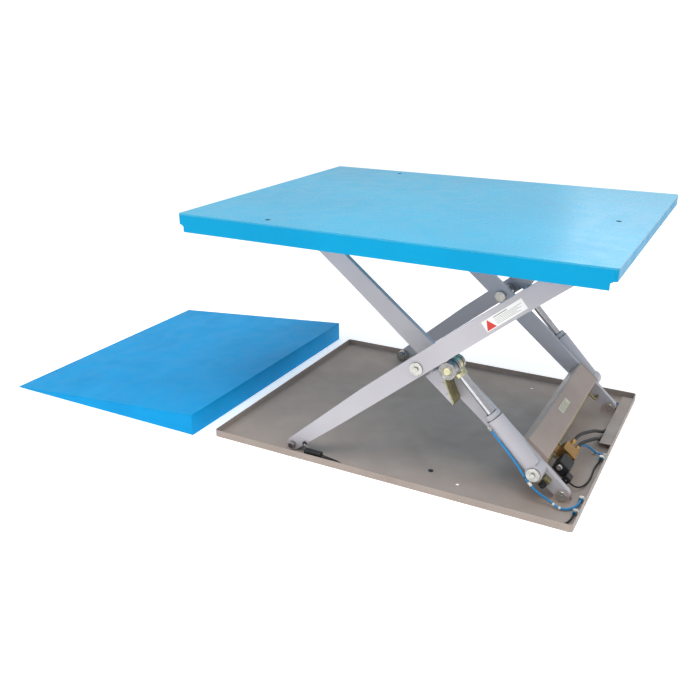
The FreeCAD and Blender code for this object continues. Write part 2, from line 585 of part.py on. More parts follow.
NECK_LENGTH, NECK_END = 14, 31
for side, word in ((-1, "near"), (1, "far")):
    frame = ram_frame(side)
    eye = rod("barrel_eye_" + word, "barrel_radius - 1", "cam_width - 4", (0, -28, 0))
    tube = rod("barrel_tube_" + word, "barrel_radius", "barrel_length - 20", (20, 0, 0), "x")
    eye_hole = rod("barrel_eye_hole_" + word, "foot_bore", "cam_width - 4", (0, -28, 0))
    bore = rod("barrel_bore_" + word, "barrel_bore", "barrel_length - 36", (36, 0, 0), "x")
    port = rod("bleed_stem_" + word, "5", "19", (0, 0, 0), "z")
    port.Placement = Placement(Vector(d["barrel_length"] - 18, side * 12, 12),
                               Rotation(Vector(1, 0, 0), side * -45))
    port = fuse("bleed_port_" + word, port,
                rod("bleed_nut_" + word, "6.5", "16", (d["barrel_length"] - 26, side * 25.5, 25.5), "x"))
    barrel = cut("barrel_" + word + "_cut", fuse("barrel_whole_" + word, eye, tube, port), eye_hole, bore)
    keep("barrel_" + word, barrel, frame)

    cap = rod("gland_cap_" + word, "barrel_radius - 2", "gland_length", (d["barrel_length"], 0, 0), "x")
    spigot = rod("gland_spigot_" + word, "barrel_bore - 0.05", "20", (d["barrel_length"] - 20, 0, 0), "x")
    gland_hole = rod("gland_hole_" + word, "rod_radius + 0.05", "40", (d["barrel_length"] - 21, 0, 0), "x")
    keep("gland_" + word, cut("gland_" + word + "_cut", fuse("gland_whole_" + word, cap, spigot), gland_hole),
         frame)

    route = [(d["barrel_length"] - 26, 25.5, 25.5), (160, 25.5, 25.5), (96, 24.8, 24.8),
             (46, 27, 26), (14, 33.8, 27.5), (-27, 33.8, 27.5)]
    tube_feature = cord("bleed_line_" + word, d["tube_radius"], [(x, side * y, z) for x, y, z in route])
    keep("bleed_tube_" + word, tube_feature, frame)

    collar = cut("collar_" + word, rod("collar_outside_" + word, "5.4", "15", (-27, side * 33.8, 27.5), "x"),
                 rod("collar_inside_" + word, "tube_radius + 0.1", "15", (-27, side * 33.8, 27.5), "x"))
    keep("tube_collar_" + word, collar, frame)

    rod_start = d["rest_reach"] - NECK_END - d["rod_length"]
    shaft = rod("ram_shaft_" + word, "rod_radius", "rod_length", (rod_start, 0, 0), "x")
    piston = rod("ram_piston_" + word, "barrel_bore - 0.05", "24", (rod_start, 0, 0), "x")
    keep("ram_rod_" + word, fuse("ram_whole_" + word, shaft, piston), frame)

    head = rod("head_round_" + word, "cam_roller - 3", "24", (d["rest_reach"], -12, 0))
    neck_start = d["rest_reach"] - NECK_END - NECK_LENGTH
    neck = rod("head_neck_" + word, "rod_radius + 6", str(NECK_LENGTH), (neck_start, 0, 0), "x")
    head_block = box("head_block_" + word, str(NECK_END + 6), "24", "40",
                     (d["rest_reach"] - NECK_END, -12, -20))
    neck_hole = rod("head_hole_" + word, "rod_radius", str(NECK_LENGTH), (neck_start, 0, 0), "x")
    pin_low = -65 if side < 0 else -29
    head_pin = rod("head_pin_" + word, "pin_radius", "94", (d["rest_reach"], pin_low, 0))
    keep("ram_head_" + word,
         cut("head_cut_" + word, fuse("head_whole_" + word, head, neck, head_block, head_pin), neck_hole),
         frame)

    def cam_wheel(name, start, width):
        place = (d["rest_reach"], start, 0)
        wheel = rod(name, "cam_roller", width, place)
        return cut(name + "_turned", wheel, rod(name + "_bore", "pin_radius + 0.05", width, place))

    lower_pair = [cam_wheel(f"lower_wheel_{word}_{n}", start, "14") for n, start in enumerate((-28, 14))]
    keep("lower_rollers_" + word, group("lower_roller_pair_" + word, *lower_pair), frame)
    keep("upper_roller_" + word, cam_wheel("upper_wheel_" + word, -64 if side < 0 else 36, "28"), frame)

# --- platform -----------------------------------------------------------------------------------

deck_left = d["deck_shift"] - d["deck_length"] / 2
deck_right = d["deck_shift"] + d["deck_length"] / 2
half_deck = d["deck_width"] / 2
under_deck = d["deck_height"] - d["deck_sheet"]
plate = box("plate", "deck_length", "deck_width", "deck_sheet", (deck_left, -half_deck, under_deck))
plate = round_edges("plate_round", plate, 9, upright)
LIFT_HOLES = [(-411, -512), (-411, 512), (604, 0)]
hole_radius = 6.8
deck_holes = [rod(f"lift_hole_{n}", "9", "deck_sheet", (x, y, under_deck), "z")
              for n, (x, y) in enumerate(LIFT_HOLES)]
keep("deck_plate", cut("plate_cut", plate, *deck_holes))

inserts = []
for n, (x, y) in enumerate(LIFT_HOLES):
    sleeve = rod(f"insert_sleeve_{n}", "9", "22", (x, y, d["deck_height"] - 22), "z")
    thread = rod(f"insert_thread_{n}", str(hole_radius), "22", (x, y, d["deck_height"] - 22), "z")
    inserts.append(cut(f"insert_{n}", sleeve, thread))
keep("lifting_inserts", group("insert_set", *inserts))

notch, sheet_thick = d["skirt_notch"], d["skirt_sheet"]
long_outline = polygon((deck_left + 9, 0), (deck_left + 9, d["deck_sheet"] - d["end_skirt"]),
                       (deck_left + notch, d["deck_sheet"] - d["end_skirt"] - 6),
                       (deck_left + notch, d["deck_sheet"] - d["side_skirt"]),
                       (deck_right - notch, d["deck_sheet"] - d["side_skirt"]),
                       (deck_right - notch, d["deck_sheet"] - d["end_skirt"] - 6),
                       (deck_right - 9, d["deck_sheet"] - d["end_skirt"]), (deck_right - 9, 0))
side_skirts = []
for n, face in enumerate((sheet_thick - half_deck, half_deck)):
    side_skirt = padded(f"side_skirt_{n}", long_outline, "skirt_sheet")
    side_skirt.Placement = Placement(Vector(0, face, under_deck), Rotation())
    side_skirts.append(side_skirt)
end_skirts = [box(f"end_skirt_{n}", "skirt_sheet", "deck_width - 18", "end_skirt - deck_sheet",
                  (x, 9 - half_deck, d["deck_height"] - d["end_skirt"]))
              for n, x in enumerate((deck_left, deck_right - sheet_thick))]
keep("deck_skirts", group("skirt_set", *side_skirts, *end_skirts))

rib_high = under_deck - d["rib_deep"]
ribs = [box(f"deck_rib_{n}", "1030", "rib_sheet", "rib_deep", (-695, y - d["rib_sheet"] / 2, rib_high))
        for n, y in enumerate((-170, 0, 170))]

rail_low = under_deck - d["rail_deep"]
rail = box("rail_near", "400", "rail_wide", "rail_deep", (-690, -deck_roller_y - 1, rail_low))
keep("deck_stiffeners", group("rib_and_rail_set", *ribs, rail, far_side(rail)))

deck_pivot_z = d["deck_height"] - d["deck_drop"]
deck_lug_outline = polygon((-40, under_deck - deck_pivot_z), (-16, -17), (16, -17),
                           (40, under_deck - deck_pivot_z))
deck_lugs = []
outer_face = d["outer_arm_y"] + d["arm_sheet"]
for n, face in enumerate((d["outer_arm_y"] - 4, outer_face + 4 + d["deck_lug"])):
    lug = padded(f"deck_lug_{n}", deck_lug_outline, "deck_lug", [(0, 0, d["pin_radius"] + 0.02)])
    lug.Placement = Placement(Vector(d["pivot_x"], face, deck_pivot_z), Rotation())
    deck_lugs += [lug, far_side(lug)]
keep("deck_brackets", group("deck_lug_set", *deck_lugs))

deck_pin = fuse("deck_pin_whole",
                rod("deck_pin", "pin_radius", "2 * deck_lug + arm_sheet + 12",
                    (d["pivot_x"], d["outer_arm_y"] - 14, deck_pivot_z)),
                rod("deck_pin_head", "pin_radius + 4", "5", (d["pivot_x"], outer_face + 12.1, deck_pivot_z)))
keep("deck_pins", group("deck_pin_pair", deck_pin, far_side(deck_pin)))

# --- drive-up ramp --------------------------------------------------------------------------------

half_ramp = d["ramp_width"] / 2
ramp_run = d["ramp_high_x"] - d["ramp_low_x"]
toe = 3
ramp_profile = polygon((d["ramp_low_x"], 0), (d["ramp_low_x"] + 34, 0),
                       (d["ramp_high_x"], d["ramp_height"] - d["ramp_sheet"]),
                       (d["ramp_high_x"], d["ramp_height"]), (d["ramp_low_x"], toe))
ramp_top = padded("ramp_top_sheet", ramp_profile, "ramp_width")
keep("ramp_plate", ramp_top, Placement(Vector(0, half_ramp, 0), Rotation()))

rise = (d["ramp_height"] - d["ramp_sheet"]) / (ramp_run - 34)
web_start = 90
web_profile = polygon((d["ramp_low_x"] + 34 + web_start, 0), (d["ramp_high_x"], 0),
                      (d["ramp_high_x"], d["ramp_height"] - d["ramp_sheet"]),
                      (d["ramp_low_x"] + 34 + web_start, rise * web_start))
side_profile = polygon((d["ramp_low_x"] + 34, 0), (d["ramp_high_x"], 0),
                       (d["ramp_high_x"], d["ramp_height"] - d["ramp_sheet"]))
webs = []
for n, y in enumerate((6 - half_ramp, -190, 196, half_ramp)):
    web = padded(f"ramp_web_{n}", side_profile if n in (0, 3) else web_profile, "ramp_sheet")
    web.Placement.Base.y = y
    webs.append(web)
ramp_end = box("ramp_end", "ramp_sheet", "ramp_width", "ramp_height - ramp_sheet - 0.6",
               (d["ramp_high_x"] - d["ramp_sheet"], -half_ramp, 0))
keep("ramp_frame", fuse("ramp_frame_whole", ramp_end, *webs))

# --- check and write --------------------------------------------------------------------------------

doc.recompute()
for item in doc.Objects:
    if {"Invalid", "Error"} & set(item.State):
        raise SystemExit(f"{item.Name} failed: {item.State}")
for part in parts:
    if part.Shape.isNull() or not part.Shape.isValid() or not part.Shape.Solids:
        raise SystemExit(f"{part.Label} has no valid solid")

os.makedirs("parts", exist_ok=True)
for part in parts:
    part.Shape.exportStep(f"parts/{part.Label}.step")
print(f"{len(parts)} sub-parts; rest angle {math.degrees(REST):.3f}, closed {math.degrees(CLOSED):.3f}, "
      f"top {math.degrees(TOP):.3f} degrees; centre {CENTRE.x:.2f}, {CENTRE.z:.2f}")
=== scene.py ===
import json
import math

import bmesh
import bpy
from mathutils import Matrix, Vector


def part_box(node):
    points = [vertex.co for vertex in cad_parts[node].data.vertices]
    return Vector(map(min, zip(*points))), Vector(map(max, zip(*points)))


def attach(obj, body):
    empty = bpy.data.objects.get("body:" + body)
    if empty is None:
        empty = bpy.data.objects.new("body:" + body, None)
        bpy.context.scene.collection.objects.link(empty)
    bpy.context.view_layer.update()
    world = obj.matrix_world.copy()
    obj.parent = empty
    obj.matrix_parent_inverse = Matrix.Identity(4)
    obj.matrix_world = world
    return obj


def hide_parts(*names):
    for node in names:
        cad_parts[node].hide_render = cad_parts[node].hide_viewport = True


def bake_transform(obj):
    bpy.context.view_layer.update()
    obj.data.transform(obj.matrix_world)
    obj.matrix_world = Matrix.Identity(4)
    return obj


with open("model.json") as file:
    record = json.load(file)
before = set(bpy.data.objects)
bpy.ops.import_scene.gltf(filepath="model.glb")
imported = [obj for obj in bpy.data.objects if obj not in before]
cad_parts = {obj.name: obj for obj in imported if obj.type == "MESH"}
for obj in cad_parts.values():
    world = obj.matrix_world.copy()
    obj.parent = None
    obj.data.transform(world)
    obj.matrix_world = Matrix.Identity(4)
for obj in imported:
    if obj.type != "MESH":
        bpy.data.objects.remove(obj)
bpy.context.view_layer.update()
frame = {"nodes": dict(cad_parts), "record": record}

joints = {joint["name"]: joint for joint in frame["record"]["behaviour"]["joints"]}

# --- Camera, lamps and floor ---
# A standing person's view of the near side from the hose end, in an even white studio: a large
# soft lamp overhead, weaker ones from the left and behind, and a plain pale floor.

camera_data = bpy.data.cameras.new("camera")
camera_data.lens = 41.19
camera_data.sensor_width = 36
camera = bpy.data.objects.new("camera", camera_data)
camera.location = (1.0414, -2.6648, 1.4193)
camera.rotation_euler = (math.radians(90 - 21.78), math.radians(0.05), math.radians(28.07))
bpy.context.scene.collection.objects.link(camera)
bpy.context.scene.camera = camera

for name, size, watts, place, target in (
        ("overhead_softbox", 2.4, 88, (0.5, -1.3, 3.6), (0, 0, 0.3)),
        ("left_softbox", 2.2, 16, (-3.4, -2.2, 2.4), (-0.4, 0, 0.3)),
        ("back_softbox", 2.4, 20, (0.6, 3.6, 2.8), (0, 0, 0.7))):
    lamp_data = bpy.data.lights.new(name, "AREA")
    lamp_data.shape = "SQUARE"
    lamp_data.size = size
    lamp_data.energy = watts
    lamp = bpy.data.objects.new(name, lamp_data)
    lamp.location = place
    lamp.rotation_euler = (Vector(target) - Vector(place)).to_track_quat("-Z", "Y").to_euler()
    bpy.context.scene.collection.objects.link(lamp)

studio_air = bpy.data.worlds.new("white_studio")
studio_air.use_nodes = True
bpy.context.scene.world = studio_air
bpy.context.scene.view_settings.view_transform = "Standard"


def linear(colour):
    """The linear numbers that a shader takes, from an sRGB hex colour."""
    parts = [int(colour[n:n + 2], 16) / 255 for n in (1, 3, 5)]
    return [part / 12.92 if part <= 0.04045 else ((part + 0.055) / 1.055) ** 2.4 for part in parts] + [1]


def finish(name, colour, roughness, **values):
    """A material with its shader's own settings, its node tree, and the place its patterns read."""
    material = bpy.data.materials.new(name)
    material.use_nodes = True
    tree = material.node_tree
    shader = tree.nodes["Principled BSDF"]
    shader.inputs["Base Color"].default_value = linear(colour)
    shader.inputs["Roughness"].default_value = roughness
    for key, value in values.items():
        shader.inputs[key.replace("_", " ")].default_value = value
    return material, tree, shader, add(tree, "ShaderNodeTexCoord").outputs["Object"]


def add(tree, kind, inputs=None, **settings):
    """Adds a node with its settings. Each input gets a value, a colour or another node's output."""
    made = tree.nodes.new(kind)
    for key, value in settings.items():
        setattr(made, key, value)
    for key, value in (inputs or {}).items():
        if isinstance(value, bpy.types.NodeSocket):
            tree.links.new(value, made.inputs[key])
        else:
            made.inputs[key].default_value = linear(value) if isinstance(value, str) else value
    return made


# The studio's air lights the table evenly, and behind the table its wall is burnt out to white.
wall = studio_air.node_tree.nodes["Background"]
wall.inputs["Color"].default_value = (1, 1, 1, 1)
seen = add(studio_air.node_tree, "ShaderNodeLightPath").outputs["Is Camera Ray"]
studio_air.node_tree.links.new(add(studio_air.node_tree, "ShaderNodeMapRange", {
    "Value": seen, "To Min": 0.66, "To Max": 1.2}).outputs[0], wall.inputs["Strength"])

floor_sheet = bmesh.new()
bmesh.ops.create_grid(floor_sheet, x_segments=1, y_segments=1, size=14)
floor_mesh = bpy.data.meshes.new("studio_floor")
floor_sheet.to_mesh(floor_mesh)
floor_sheet.free()
floor_mesh.materials.append(finish("pale_floor_paint", "#F8F8F8", 0.8, Emission_Color=(1, 1, 1, 1),
                                   Emission_Strength=0.4)[0])
studio_floor = bpy.data.objects.new("studio_floor", floor_mesh)
bpy.context.scene.collection.objects.link(studio_floor)

# --- Base tray ---
# A shallow pan folded from 3 mm sheet with welded, dressed corners, anchor holes and a drain.
# It stands on the shop floor, powder coated warm grey, and is dusty where shoes and drips reach.


def clouds(tree, place, patch, low, high, detail=3.0, start=0.35, stop=0.65):
    """A soft cloud pattern with patches of a real size in metres, spread from low to high."""
    noise = add(tree, "ShaderNodeTexNoise", {"Vector": place, "Scale": 1 / patch, "Detail": detail})
    return add(tree, "ShaderNodeMapRange", {"Value": noise.outputs[0], "From Min": start, "From Max": stop,
                                            "To Min": low, "To Max": high}).outputs[0]


def powder_coat(name, colour, shade, roughness, dust=None, gloss=0.5):
    """Baked polyester powder on steel: an even colour under a soft gloss, with an orange-peel skin.
    The real peel is about 2 mm across and is drawn at 4 mm, so that it shows."""
    material, tree, shader, place = finish(name, colour, roughness, Specular_IOR_Level=gloss)
    paint = add(tree, "ShaderNodeMix", {0: clouds(tree, place, 0.3, 0.0, 1.0), 6: colour, 7: shade},
                data_type="RGBA").outputs[2]
    if dust:
        paint = add(tree, "ShaderNodeMix", {0: clouds(tree, place, 0.12, 0.0, 0.6, 8.0, 0.47, 0.75), 6: paint,
                                            7: dust}, data_type="RGBA").outputs[2]
        scuffs = clouds(tree, place, 0.02, 0.0, 0.35, 6.0, 0.62, 0.72)
        paint = add(tree, "ShaderNodeMix", {0: scuffs, 6: paint, 7: shade}, data_type="RGBA").outputs[2]
    tree.links.new(paint, shader.inputs["Base Color"])
    tree.links.new(clouds(tree, place, 0.07, roughness * 0.85, roughness * 1.2, 6.0),
                   shader.inputs["Roughness"])
    peel = add(tree, "ShaderNodeTexNoise", {"Vector": place, "Scale": 250, "Detail": 1.5})
    bump = add(tree, "ShaderNodeBump", {"Height": peel.outputs[0], "Distance": 0.0001, "Strength": 0.1})
    tree.links.new(bump.outputs[0], shader.inputs["Normal"])
    return material


tray_paint = powder_coat("tray_grey_powder_coat", "#A5978E", "#9B8D84", 0.5, dust="#AD9F95")


def piece(name, bm, body, material, slot, *replaced):
    """Makes the piece from its bmesh, smooth over its bends and crisp at its corners, on its body."""
    mesh = bpy.data.meshes.new(name)
    bm.to_mesh(mesh)
    bm.free()
    mesh.materials.append(material)
    mesh.shade_smooth()
    mesh.set_sharp_from_angle(angle=math.radians(40))
    made = bpy.data.objects.new(name, mesh)
    bpy.context.scene.collection.objects.link(made)
    made.modifiers.new("flat_faces", "WEIGHTED_NORMAL").keep_sharp = True
    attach(made, body)
    if replaced:
        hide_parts(*replaced)
    return made


def eased_part(name, node, body, material, slot, width, segments=2, corner=38):
    """A node's own shape, its triangles joined into real faces, with every corner sharper than the
    given degrees rounded, as folding, deburring and paint do."""
    bm = bmesh.new()
    bm.from_mesh(frame["nodes"][node].data)
    bmesh.ops.remove_doubles(bm, verts=bm.verts, dist=0.00002)
    bmesh.ops.dissolve_limit(bm, angle_limit=math.radians(0.6), verts=bm.verts, edges=bm.edges)
    sharp = [edge for edge in bm.edges
             if edge.is_manifold and edge.calc_face_angle() > math.radians(corner)]
    bmesh.ops.bevel(bm, geom=sharp, offset=width, offset_type="OFFSET", affect="EDGES", profile=0.5,
                    segments=segments, material=-1, clamp_overlap=True)
    return piece(name, bm, body, material, slot, node)


eased_part("tray_pan", "base_tray", "base", tray_paint, "tray_grey", 0.0008)
eased_part("rim_cover_strip", "rim_cover", "base", tray_paint, "tray_grey", 0.0005)


def put(bm, shape, place):
    """Moves a finished shape to its place, faces outwards, and adds it to the piece."""
    bmesh.ops.transform(shape, matrix=place, verts=shape.verts)
    bmesh.ops.recalc_face_normals(shape, faces=shape.faces)
    held = bpy.data.meshes.new("held_shape")
    shape.to_mesh(held)
    shape.free()
    bm.from_mesh(held)
    bpy.data.meshes.remove(held)


def weld(bm, start, end, radius):
    """A hand-laid weld between two points: a round seam with the ripple of its cooled pools."""
    start, end = Vector(start), Vector(end)
    run = end - start
    seam = bmesh.new()
    bmesh.ops.create_cone(seam, cap_ends=True, segments=8, radius1=radius, radius2=radius, depth=run.length)
    sides = [edge for edge in seam.edges if abs(edge.verts[0].co.z - edge.verts[1].co.z) > run.length / 2]
    bmesh.ops.subdivide_edges(seam, edges=sides, cuts=max(3, int(run.length / (radius * 0.8))))
    for vert in seam.verts:
        swell = 1 + 0.12 * math.sin(vert.co.z / radius * 2.4) + 0.05 * math.sin(vert.co.z * 310)
        if abs(vert.co.z) > run.length / 2 - radius / 2:
            swell = 0.6
        vert.co.x *= swell
        vert.co.y *= swell
    middle = Matrix.Translation((start + end) / 2)
    put(bm, seam, middle @ run.to_track_quat("Z", "Y").to_matrix().to_4x4())


tray_low, tray_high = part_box("base_tray")
corner_seams = bmesh.new()
for x in (tray_low.x + 0.0062, tray_high.x - 0.0062):
    for y in (tray_low.y + 0.0062, tray_high.y - 0.0062):
        weld(corner_seams, (x, y, 0.003), (x, y, tray_high.z - 0.002), 0.0016)
piece("tray_corner_seams", corner_seams, "base", tray_paint, "tray_grey")


def moulded(name, colour, roughness, grain):
    """Moulded or extruded polymer with a fine matt skin, whose grain has a real size in metres."""
    material, tree, shader, place = finish(name, colour, roughness, IOR=1.49)
    tree.links.new(clouds(tree, place, grain * 6, roughness * 0.85, roughness * 1.2),
                   shader.inputs["Roughness"])
    skin = add(tree, "ShaderNodeTexNoise", {"Vector": place, "Scale": 1 / grain, "Detail": 2.0})
    bump = add(tree, "ShaderNodeBump", {"Height": skin.outputs[0], "Distance": 0.00005, "Strength": 0.5})
    tree.links.new(bump.outputs[0], shader.inputs["Normal"])
    return material


def turn(bm, place, outline, steps=40, hollow=False):
    """Turns a half outline round local X, as on a lathe. Its points are places along X and radii."""
    lathe = bmesh.new()
    points = [lathe.verts.new((along, 0, radius)) for along, radius in outline]
    edges = [lathe.edges.new(pair) for pair in zip(points, points[1:])]
    if hollow:
        edges.append(lathe.edges.new((points[-1], points[0])))
    bmesh.ops.spin(lathe, geom=points + edges, cent=(0, 0, 0), axis=(1, 0, 0), angle=math.tau, steps=steps,
                   use_merge=True)
    bmesh.ops.remove_doubles(lathe, verts=lathe.verts, dist=0.00001)
    put(bm, lathe, place)


def turned(degrees, axis):
    """A turn about one axis."""
    return Matrix.Rotation(math.radians(degrees), 4, axis)


hose_rubber = moulded("smooth_black_rubber", "#0A0A0B", 0.5, 0.0015)
# Painted shade: a black rubber disc sits in the drain hole and stands in for the dark inside of the hole.
drain_hole_shade_disc = bmesh.new()
turn(drain_hole_shade_disc, Matrix.Translation((0.149, -0.400, 0.0004)) @ turned(-90, "Y"),
     [(0, 0), (0, 0.0082), (0.0004, 0.0088), (0.0022, 0.0088), (0.0028, 0.0096), (0.0036, 0.0096),
      (0.0042, 0.0088), (0.0042, 0.005), (0.0034, 0.0042), (0.0034, 0)], 32)
piece("drain_hole_shade_disc", drain_hole_shade_disc, "base", hose_rubber, "hose_rubber")

# --- Pivot lugs, pins and earth bolt ---
# Two pairs of flame-cut lugs are fillet welded to the tray's floor. Zinc-plated headed pins pass
# through them, and a plated bolt holds the earth wire.

box_paint = powder_coat("warm_grey_powder_coat", "#AF9D94", "#A5938A", 0.45)
eased_part("pivot_lugs", "pivot_brackets", "base", box_paint, "tray_grey", 0.0006)
lug_low, lug_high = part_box("pivot_brackets")
lug_seams = bmesh.new()
for side in (-1, 1):
    for face in (0.352, 0.358, 0.382, 0.388):
        weld(lug_seams, (lug_low.x + 0.002, side * face, 0.0036), (lug_high.x - 0.002, side * face, 0.0036),
             0.002)
piece("lug_fillet_welds", lug_seams, "base", box_paint, "tray_grey")


def plated(name, colour, tint, roughness, patch=0.012):
    """Electroplated steel: a metal with cloudy tints from the passivating bath, and a fine tool
    grain of about 0.5 mm that breaks up its reflections."""
    material, tree, shader, place = finish(name, colour, roughness, Metallic=1.0)
    mix = add(tree, "ShaderNodeMix", {0: clouds(tree, place, patch, 0.0, 1.0, 5.0), 6: colour, 7: tint},
              data_type="RGBA")
    tree.links.new(mix.outputs[2], shader.inputs["Base Color"])
    tree.links.new(clouds(tree, place, 0.003, roughness * 0.8, roughness * 1.3), shader.inputs["Roughness"])
    grain = add(tree, "ShaderNodeTexNoise", {"Vector": place, "Scale": 2000, "Detail": 1.0})
    bump = add(tree, "ShaderNodeBump", {"Height": grain.outputs[0], "Distance": 0.00003, "Strength": 0.5})
    tree.links.new(bump.outputs[0], shader.inputs["Normal"])
    return material


bright_zinc = plated("bright_zinc_plate", "#CFCDC7", "#B9B8B2", 0.32)


def along_y(x, y, z, way=1):
    """A frame at a point whose local X runs along +Y, or along -Y if way is -1."""
    return Matrix.Translation((x, y, z)) @ turned(90 * way, "Z")


def headed_pin(bm, place, head_radius, head, radius, length):
    """A pin with a chamfered head at local zero, and its shank along local X."""
    turn(bm, place, [(0, 0), (0, radius * 0.35), (0.0006, radius * 0.4), (0.0006, head_radius * 0.8),
                     (0, head_radius * 0.86), (0, head_radius - 0.0012), (0.0012, head_radius),
                     (head, head_radius), (head, radius), (length - 0.0015, radius),
                     (length, radius - 0.0015), (length, 0)])


base_pivot = Vector(joints["scissor_lift"]["pos_m"])
pin_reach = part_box("pivot_pins")[1].y
base_pins = bmesh.new()
for side in (-1, 1):
    headed_pin(base_pins, along_y(base_pivot.x, side * pin_reach, base_pivot.z, -side), 0.01695, 0.006,
               0.01295, pin_reach - 0.348)
piece("base_pivot_pins", base_pins, "base", bright_zinc, "zinc_steel", "pivot_pins")


def hex_head(bm, place, flats, height, washer=0.0, washer_high=0.002):
    """A hexagon bolt head, on its washer if it has one, standing along local X."""
    if washer:
        turn(bm, place, [(0, 0), (0, washer), (washer_high - 0.0006, washer), (washer_high, washer - 0.0006),
                         (washer_high, 0)], 32)
    head = bmesh.new()
    corner = flats / math.sqrt(3)
    bmesh.ops.create_cone(head, cap_ends=True, segments=6, radius1=corner, radius2=corner, depth=height)
    bmesh.ops.bevel(head, geom=head.edges, offset=flats * 0.05, offset_type="OFFSET", affect="EDGES",
                    profile=0.5, segments=2, material=-1, clamp_overlap=True)
    lift = (washer_high if washer else 0) + height / 2
    put(bm, head, place @ Matrix.Translation((lift, 0, 0)) @ turned(90, "Y"))


bolt_low, bolt_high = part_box("tray_bolt")
bolt_foot = Matrix.Translation(((bolt_low.x + bolt_high.x) / 2, (bolt_low.y + bolt_high.y) / 2, bolt_low.z))
earth_bolt = bmesh.new()
hex_head(earth_bolt, bolt_foot @ turned(-90, "Y"), 0.0136, 0.0068, 0.012)
piece("earth_bolt", earth_bolt, "base", bright_zinc, "zinc_steel", "tray_bolt")

# --- Rim fittings ---
# Nickel-plated bulkhead fittings pass the tubes and cables out through the hose end rim. Four are
# elbows with a square knuckle, one is straight, and each has a ribbed barrel and a lock nut.


def block(bm, place, low, high, ease=0.0008, segments=2):
    """A rectangular block between two corners of a frame, its edges eased."""
    low, high = Vector(low), Vector(high)
    cube = bmesh.new()
    bmesh.ops.create_cube(cube, size=1)
    bmesh.ops.transform(cube, matrix=Matrix.Translation((low + high) / 2)
                        @ Matrix.Diagonal((*(high - low), 1)), verts=cube.verts)
    bmesh.ops.bevel(cube, geom=cube.edges, offset=ease, offset_type="OFFSET", affect="EDGES", profile=0.5,
                    segments=segments, material=-1, clamp_overlap=True)
    put(bm, cube, place)


def ribbed(start, stop, radius, depth=0.0005, pitch=0.002):
    """An outline with shallow turned ribs from start to stop, for a grip or a thread."""
    count = max(2, round((stop - start) / pitch))
    step = (stop - start) / count
    outline = []
    for n in range(count):
        at = start + n * step
        outline += [(at, radius - depth), (at + step * 0.25, radius), (at + step * 0.75, radius)]
    return outline + [(stop, radius - depth)]


fittings, collars = bmesh.new(), bmesh.new()
knuckle_x, fitting_z = tray_high.x - 0.016, 0.015
for y, mouth in ((-0.440, -0.452), (-0.356, -0.368), (-0.054, -0.066), (-0.030, None), (0.356, 0.368)):
    place = Matrix.Translation((knuckle_x, y, fitting_z))
    reach = 0.019
    inside = 0.0065 if mouth else 0.0
    turn(fittings, place, [(inside, 0), (inside, 0.0062), (0.0085, 0.0062)]
         + ribbed(0.0125, reach - 0.001, 0.007) + [(reach, 0.0055), (reach, 0.0042), (reach - 0.004, 0.004),
                                                   (reach - 0.004, 0)], 28)
    hex_head(fittings, place @ Matrix.Translation((0.0085, 0, 0)), 0.0134, 0.004)
    if mouth:
        block(fittings, place, (-0.0075, -0.0075, -0.0075), (0.0075, 0.0075, 0.0075), 0.0012)
        way = 1 if mouth > y else -1
        turn(fittings, along_y(knuckle_x, y, fitting_z, way),
             [(0.0074, 0), (0.0074, 0.0058), (0.0082, 0.0062), (0.0092, 0.0062), (0.0092, 0)], 28)
        turn(collars, along_y(knuckle_x, y, fitting_z, way),
             [(0.009, 0), (0.009, 0.006), (0.0094, 0.0065), (0.0114, 0.0065), (0.012, 0.006), (0.012, 0.0045),
              (0.0105, 0.0042), (0.0105, 0)], 28)
piece("rim_bulkhead_fittings", fittings, "base", bright_zinc, "zinc_steel", "rim_fittings")
teal_release = moulded("teal_push_in_collar", "#1E86B4", 0.4, 0.001)
piece("push_in_collars", collars, "base", teal_release, "blue_tube")

# --- Limit switch and its lever ---
# A glass-filled nylon position switch stands on the tray's edge. Its cover is screwed on, its cable
# leaves through a ribbed boot, and a zinc lever with a roller waits for the axle's end.

nylon_housing = moulded("black_glass_filled_nylon", "#1D1D1F", 0.45, 0.001)
row = Matrix.Identity(4)
switch = bmesh.new()
block(switch, row, (-0.292, -0.530, 0.003), (-0.212, -0.506, 0.007), 0.0006)
block(switch, row, (-0.286, -0.529, 0.0068), (-0.218, -0.509, 0.030), 0.0014)
block(switch, row, (-0.2857, -0.530, 0.0298), (-0.2183, -0.508, 0.035), 0.0012)
block(switch, row, (-0.262, -0.5092, 0.010), (-0.226, -0.508, 0.026), 0.0005)
turn(switch, Matrix.Translation((-0.218, -0.519, 0.020)),
     [(0, 0), (0, 0.0086), (0.006, 0.009)] + [(0.008 + 0.004 * n, 0.0080 - 0.00042 * n - 0.0008 * (n % 2))
                                             for n in range(9)] + [(0.046, 0.0042), (0.046, 0)], 28)
piece("limit_switch_case", switch, "base", nylon_housing, "black_plastic", "limit_switch")
cover_screws = bmesh.new()
for x in (-0.281, -0.223):
    for y in (-0.5265, -0.5115):
        turn(cover_screws, Matrix.Translation((x, y, 0.0342)) @ turned(-90, "Y"),
             [(0, 0), (0, 0.0022), (0.0004, 0.0022), (0.0008, 0.0017), (0.0008, 0.0008), (0.0003, 0.0006),
              (0.0003, 0)], 16)
piece("switch_cover_screws", cover_screws, "base", bright_zinc, "zinc_steel")

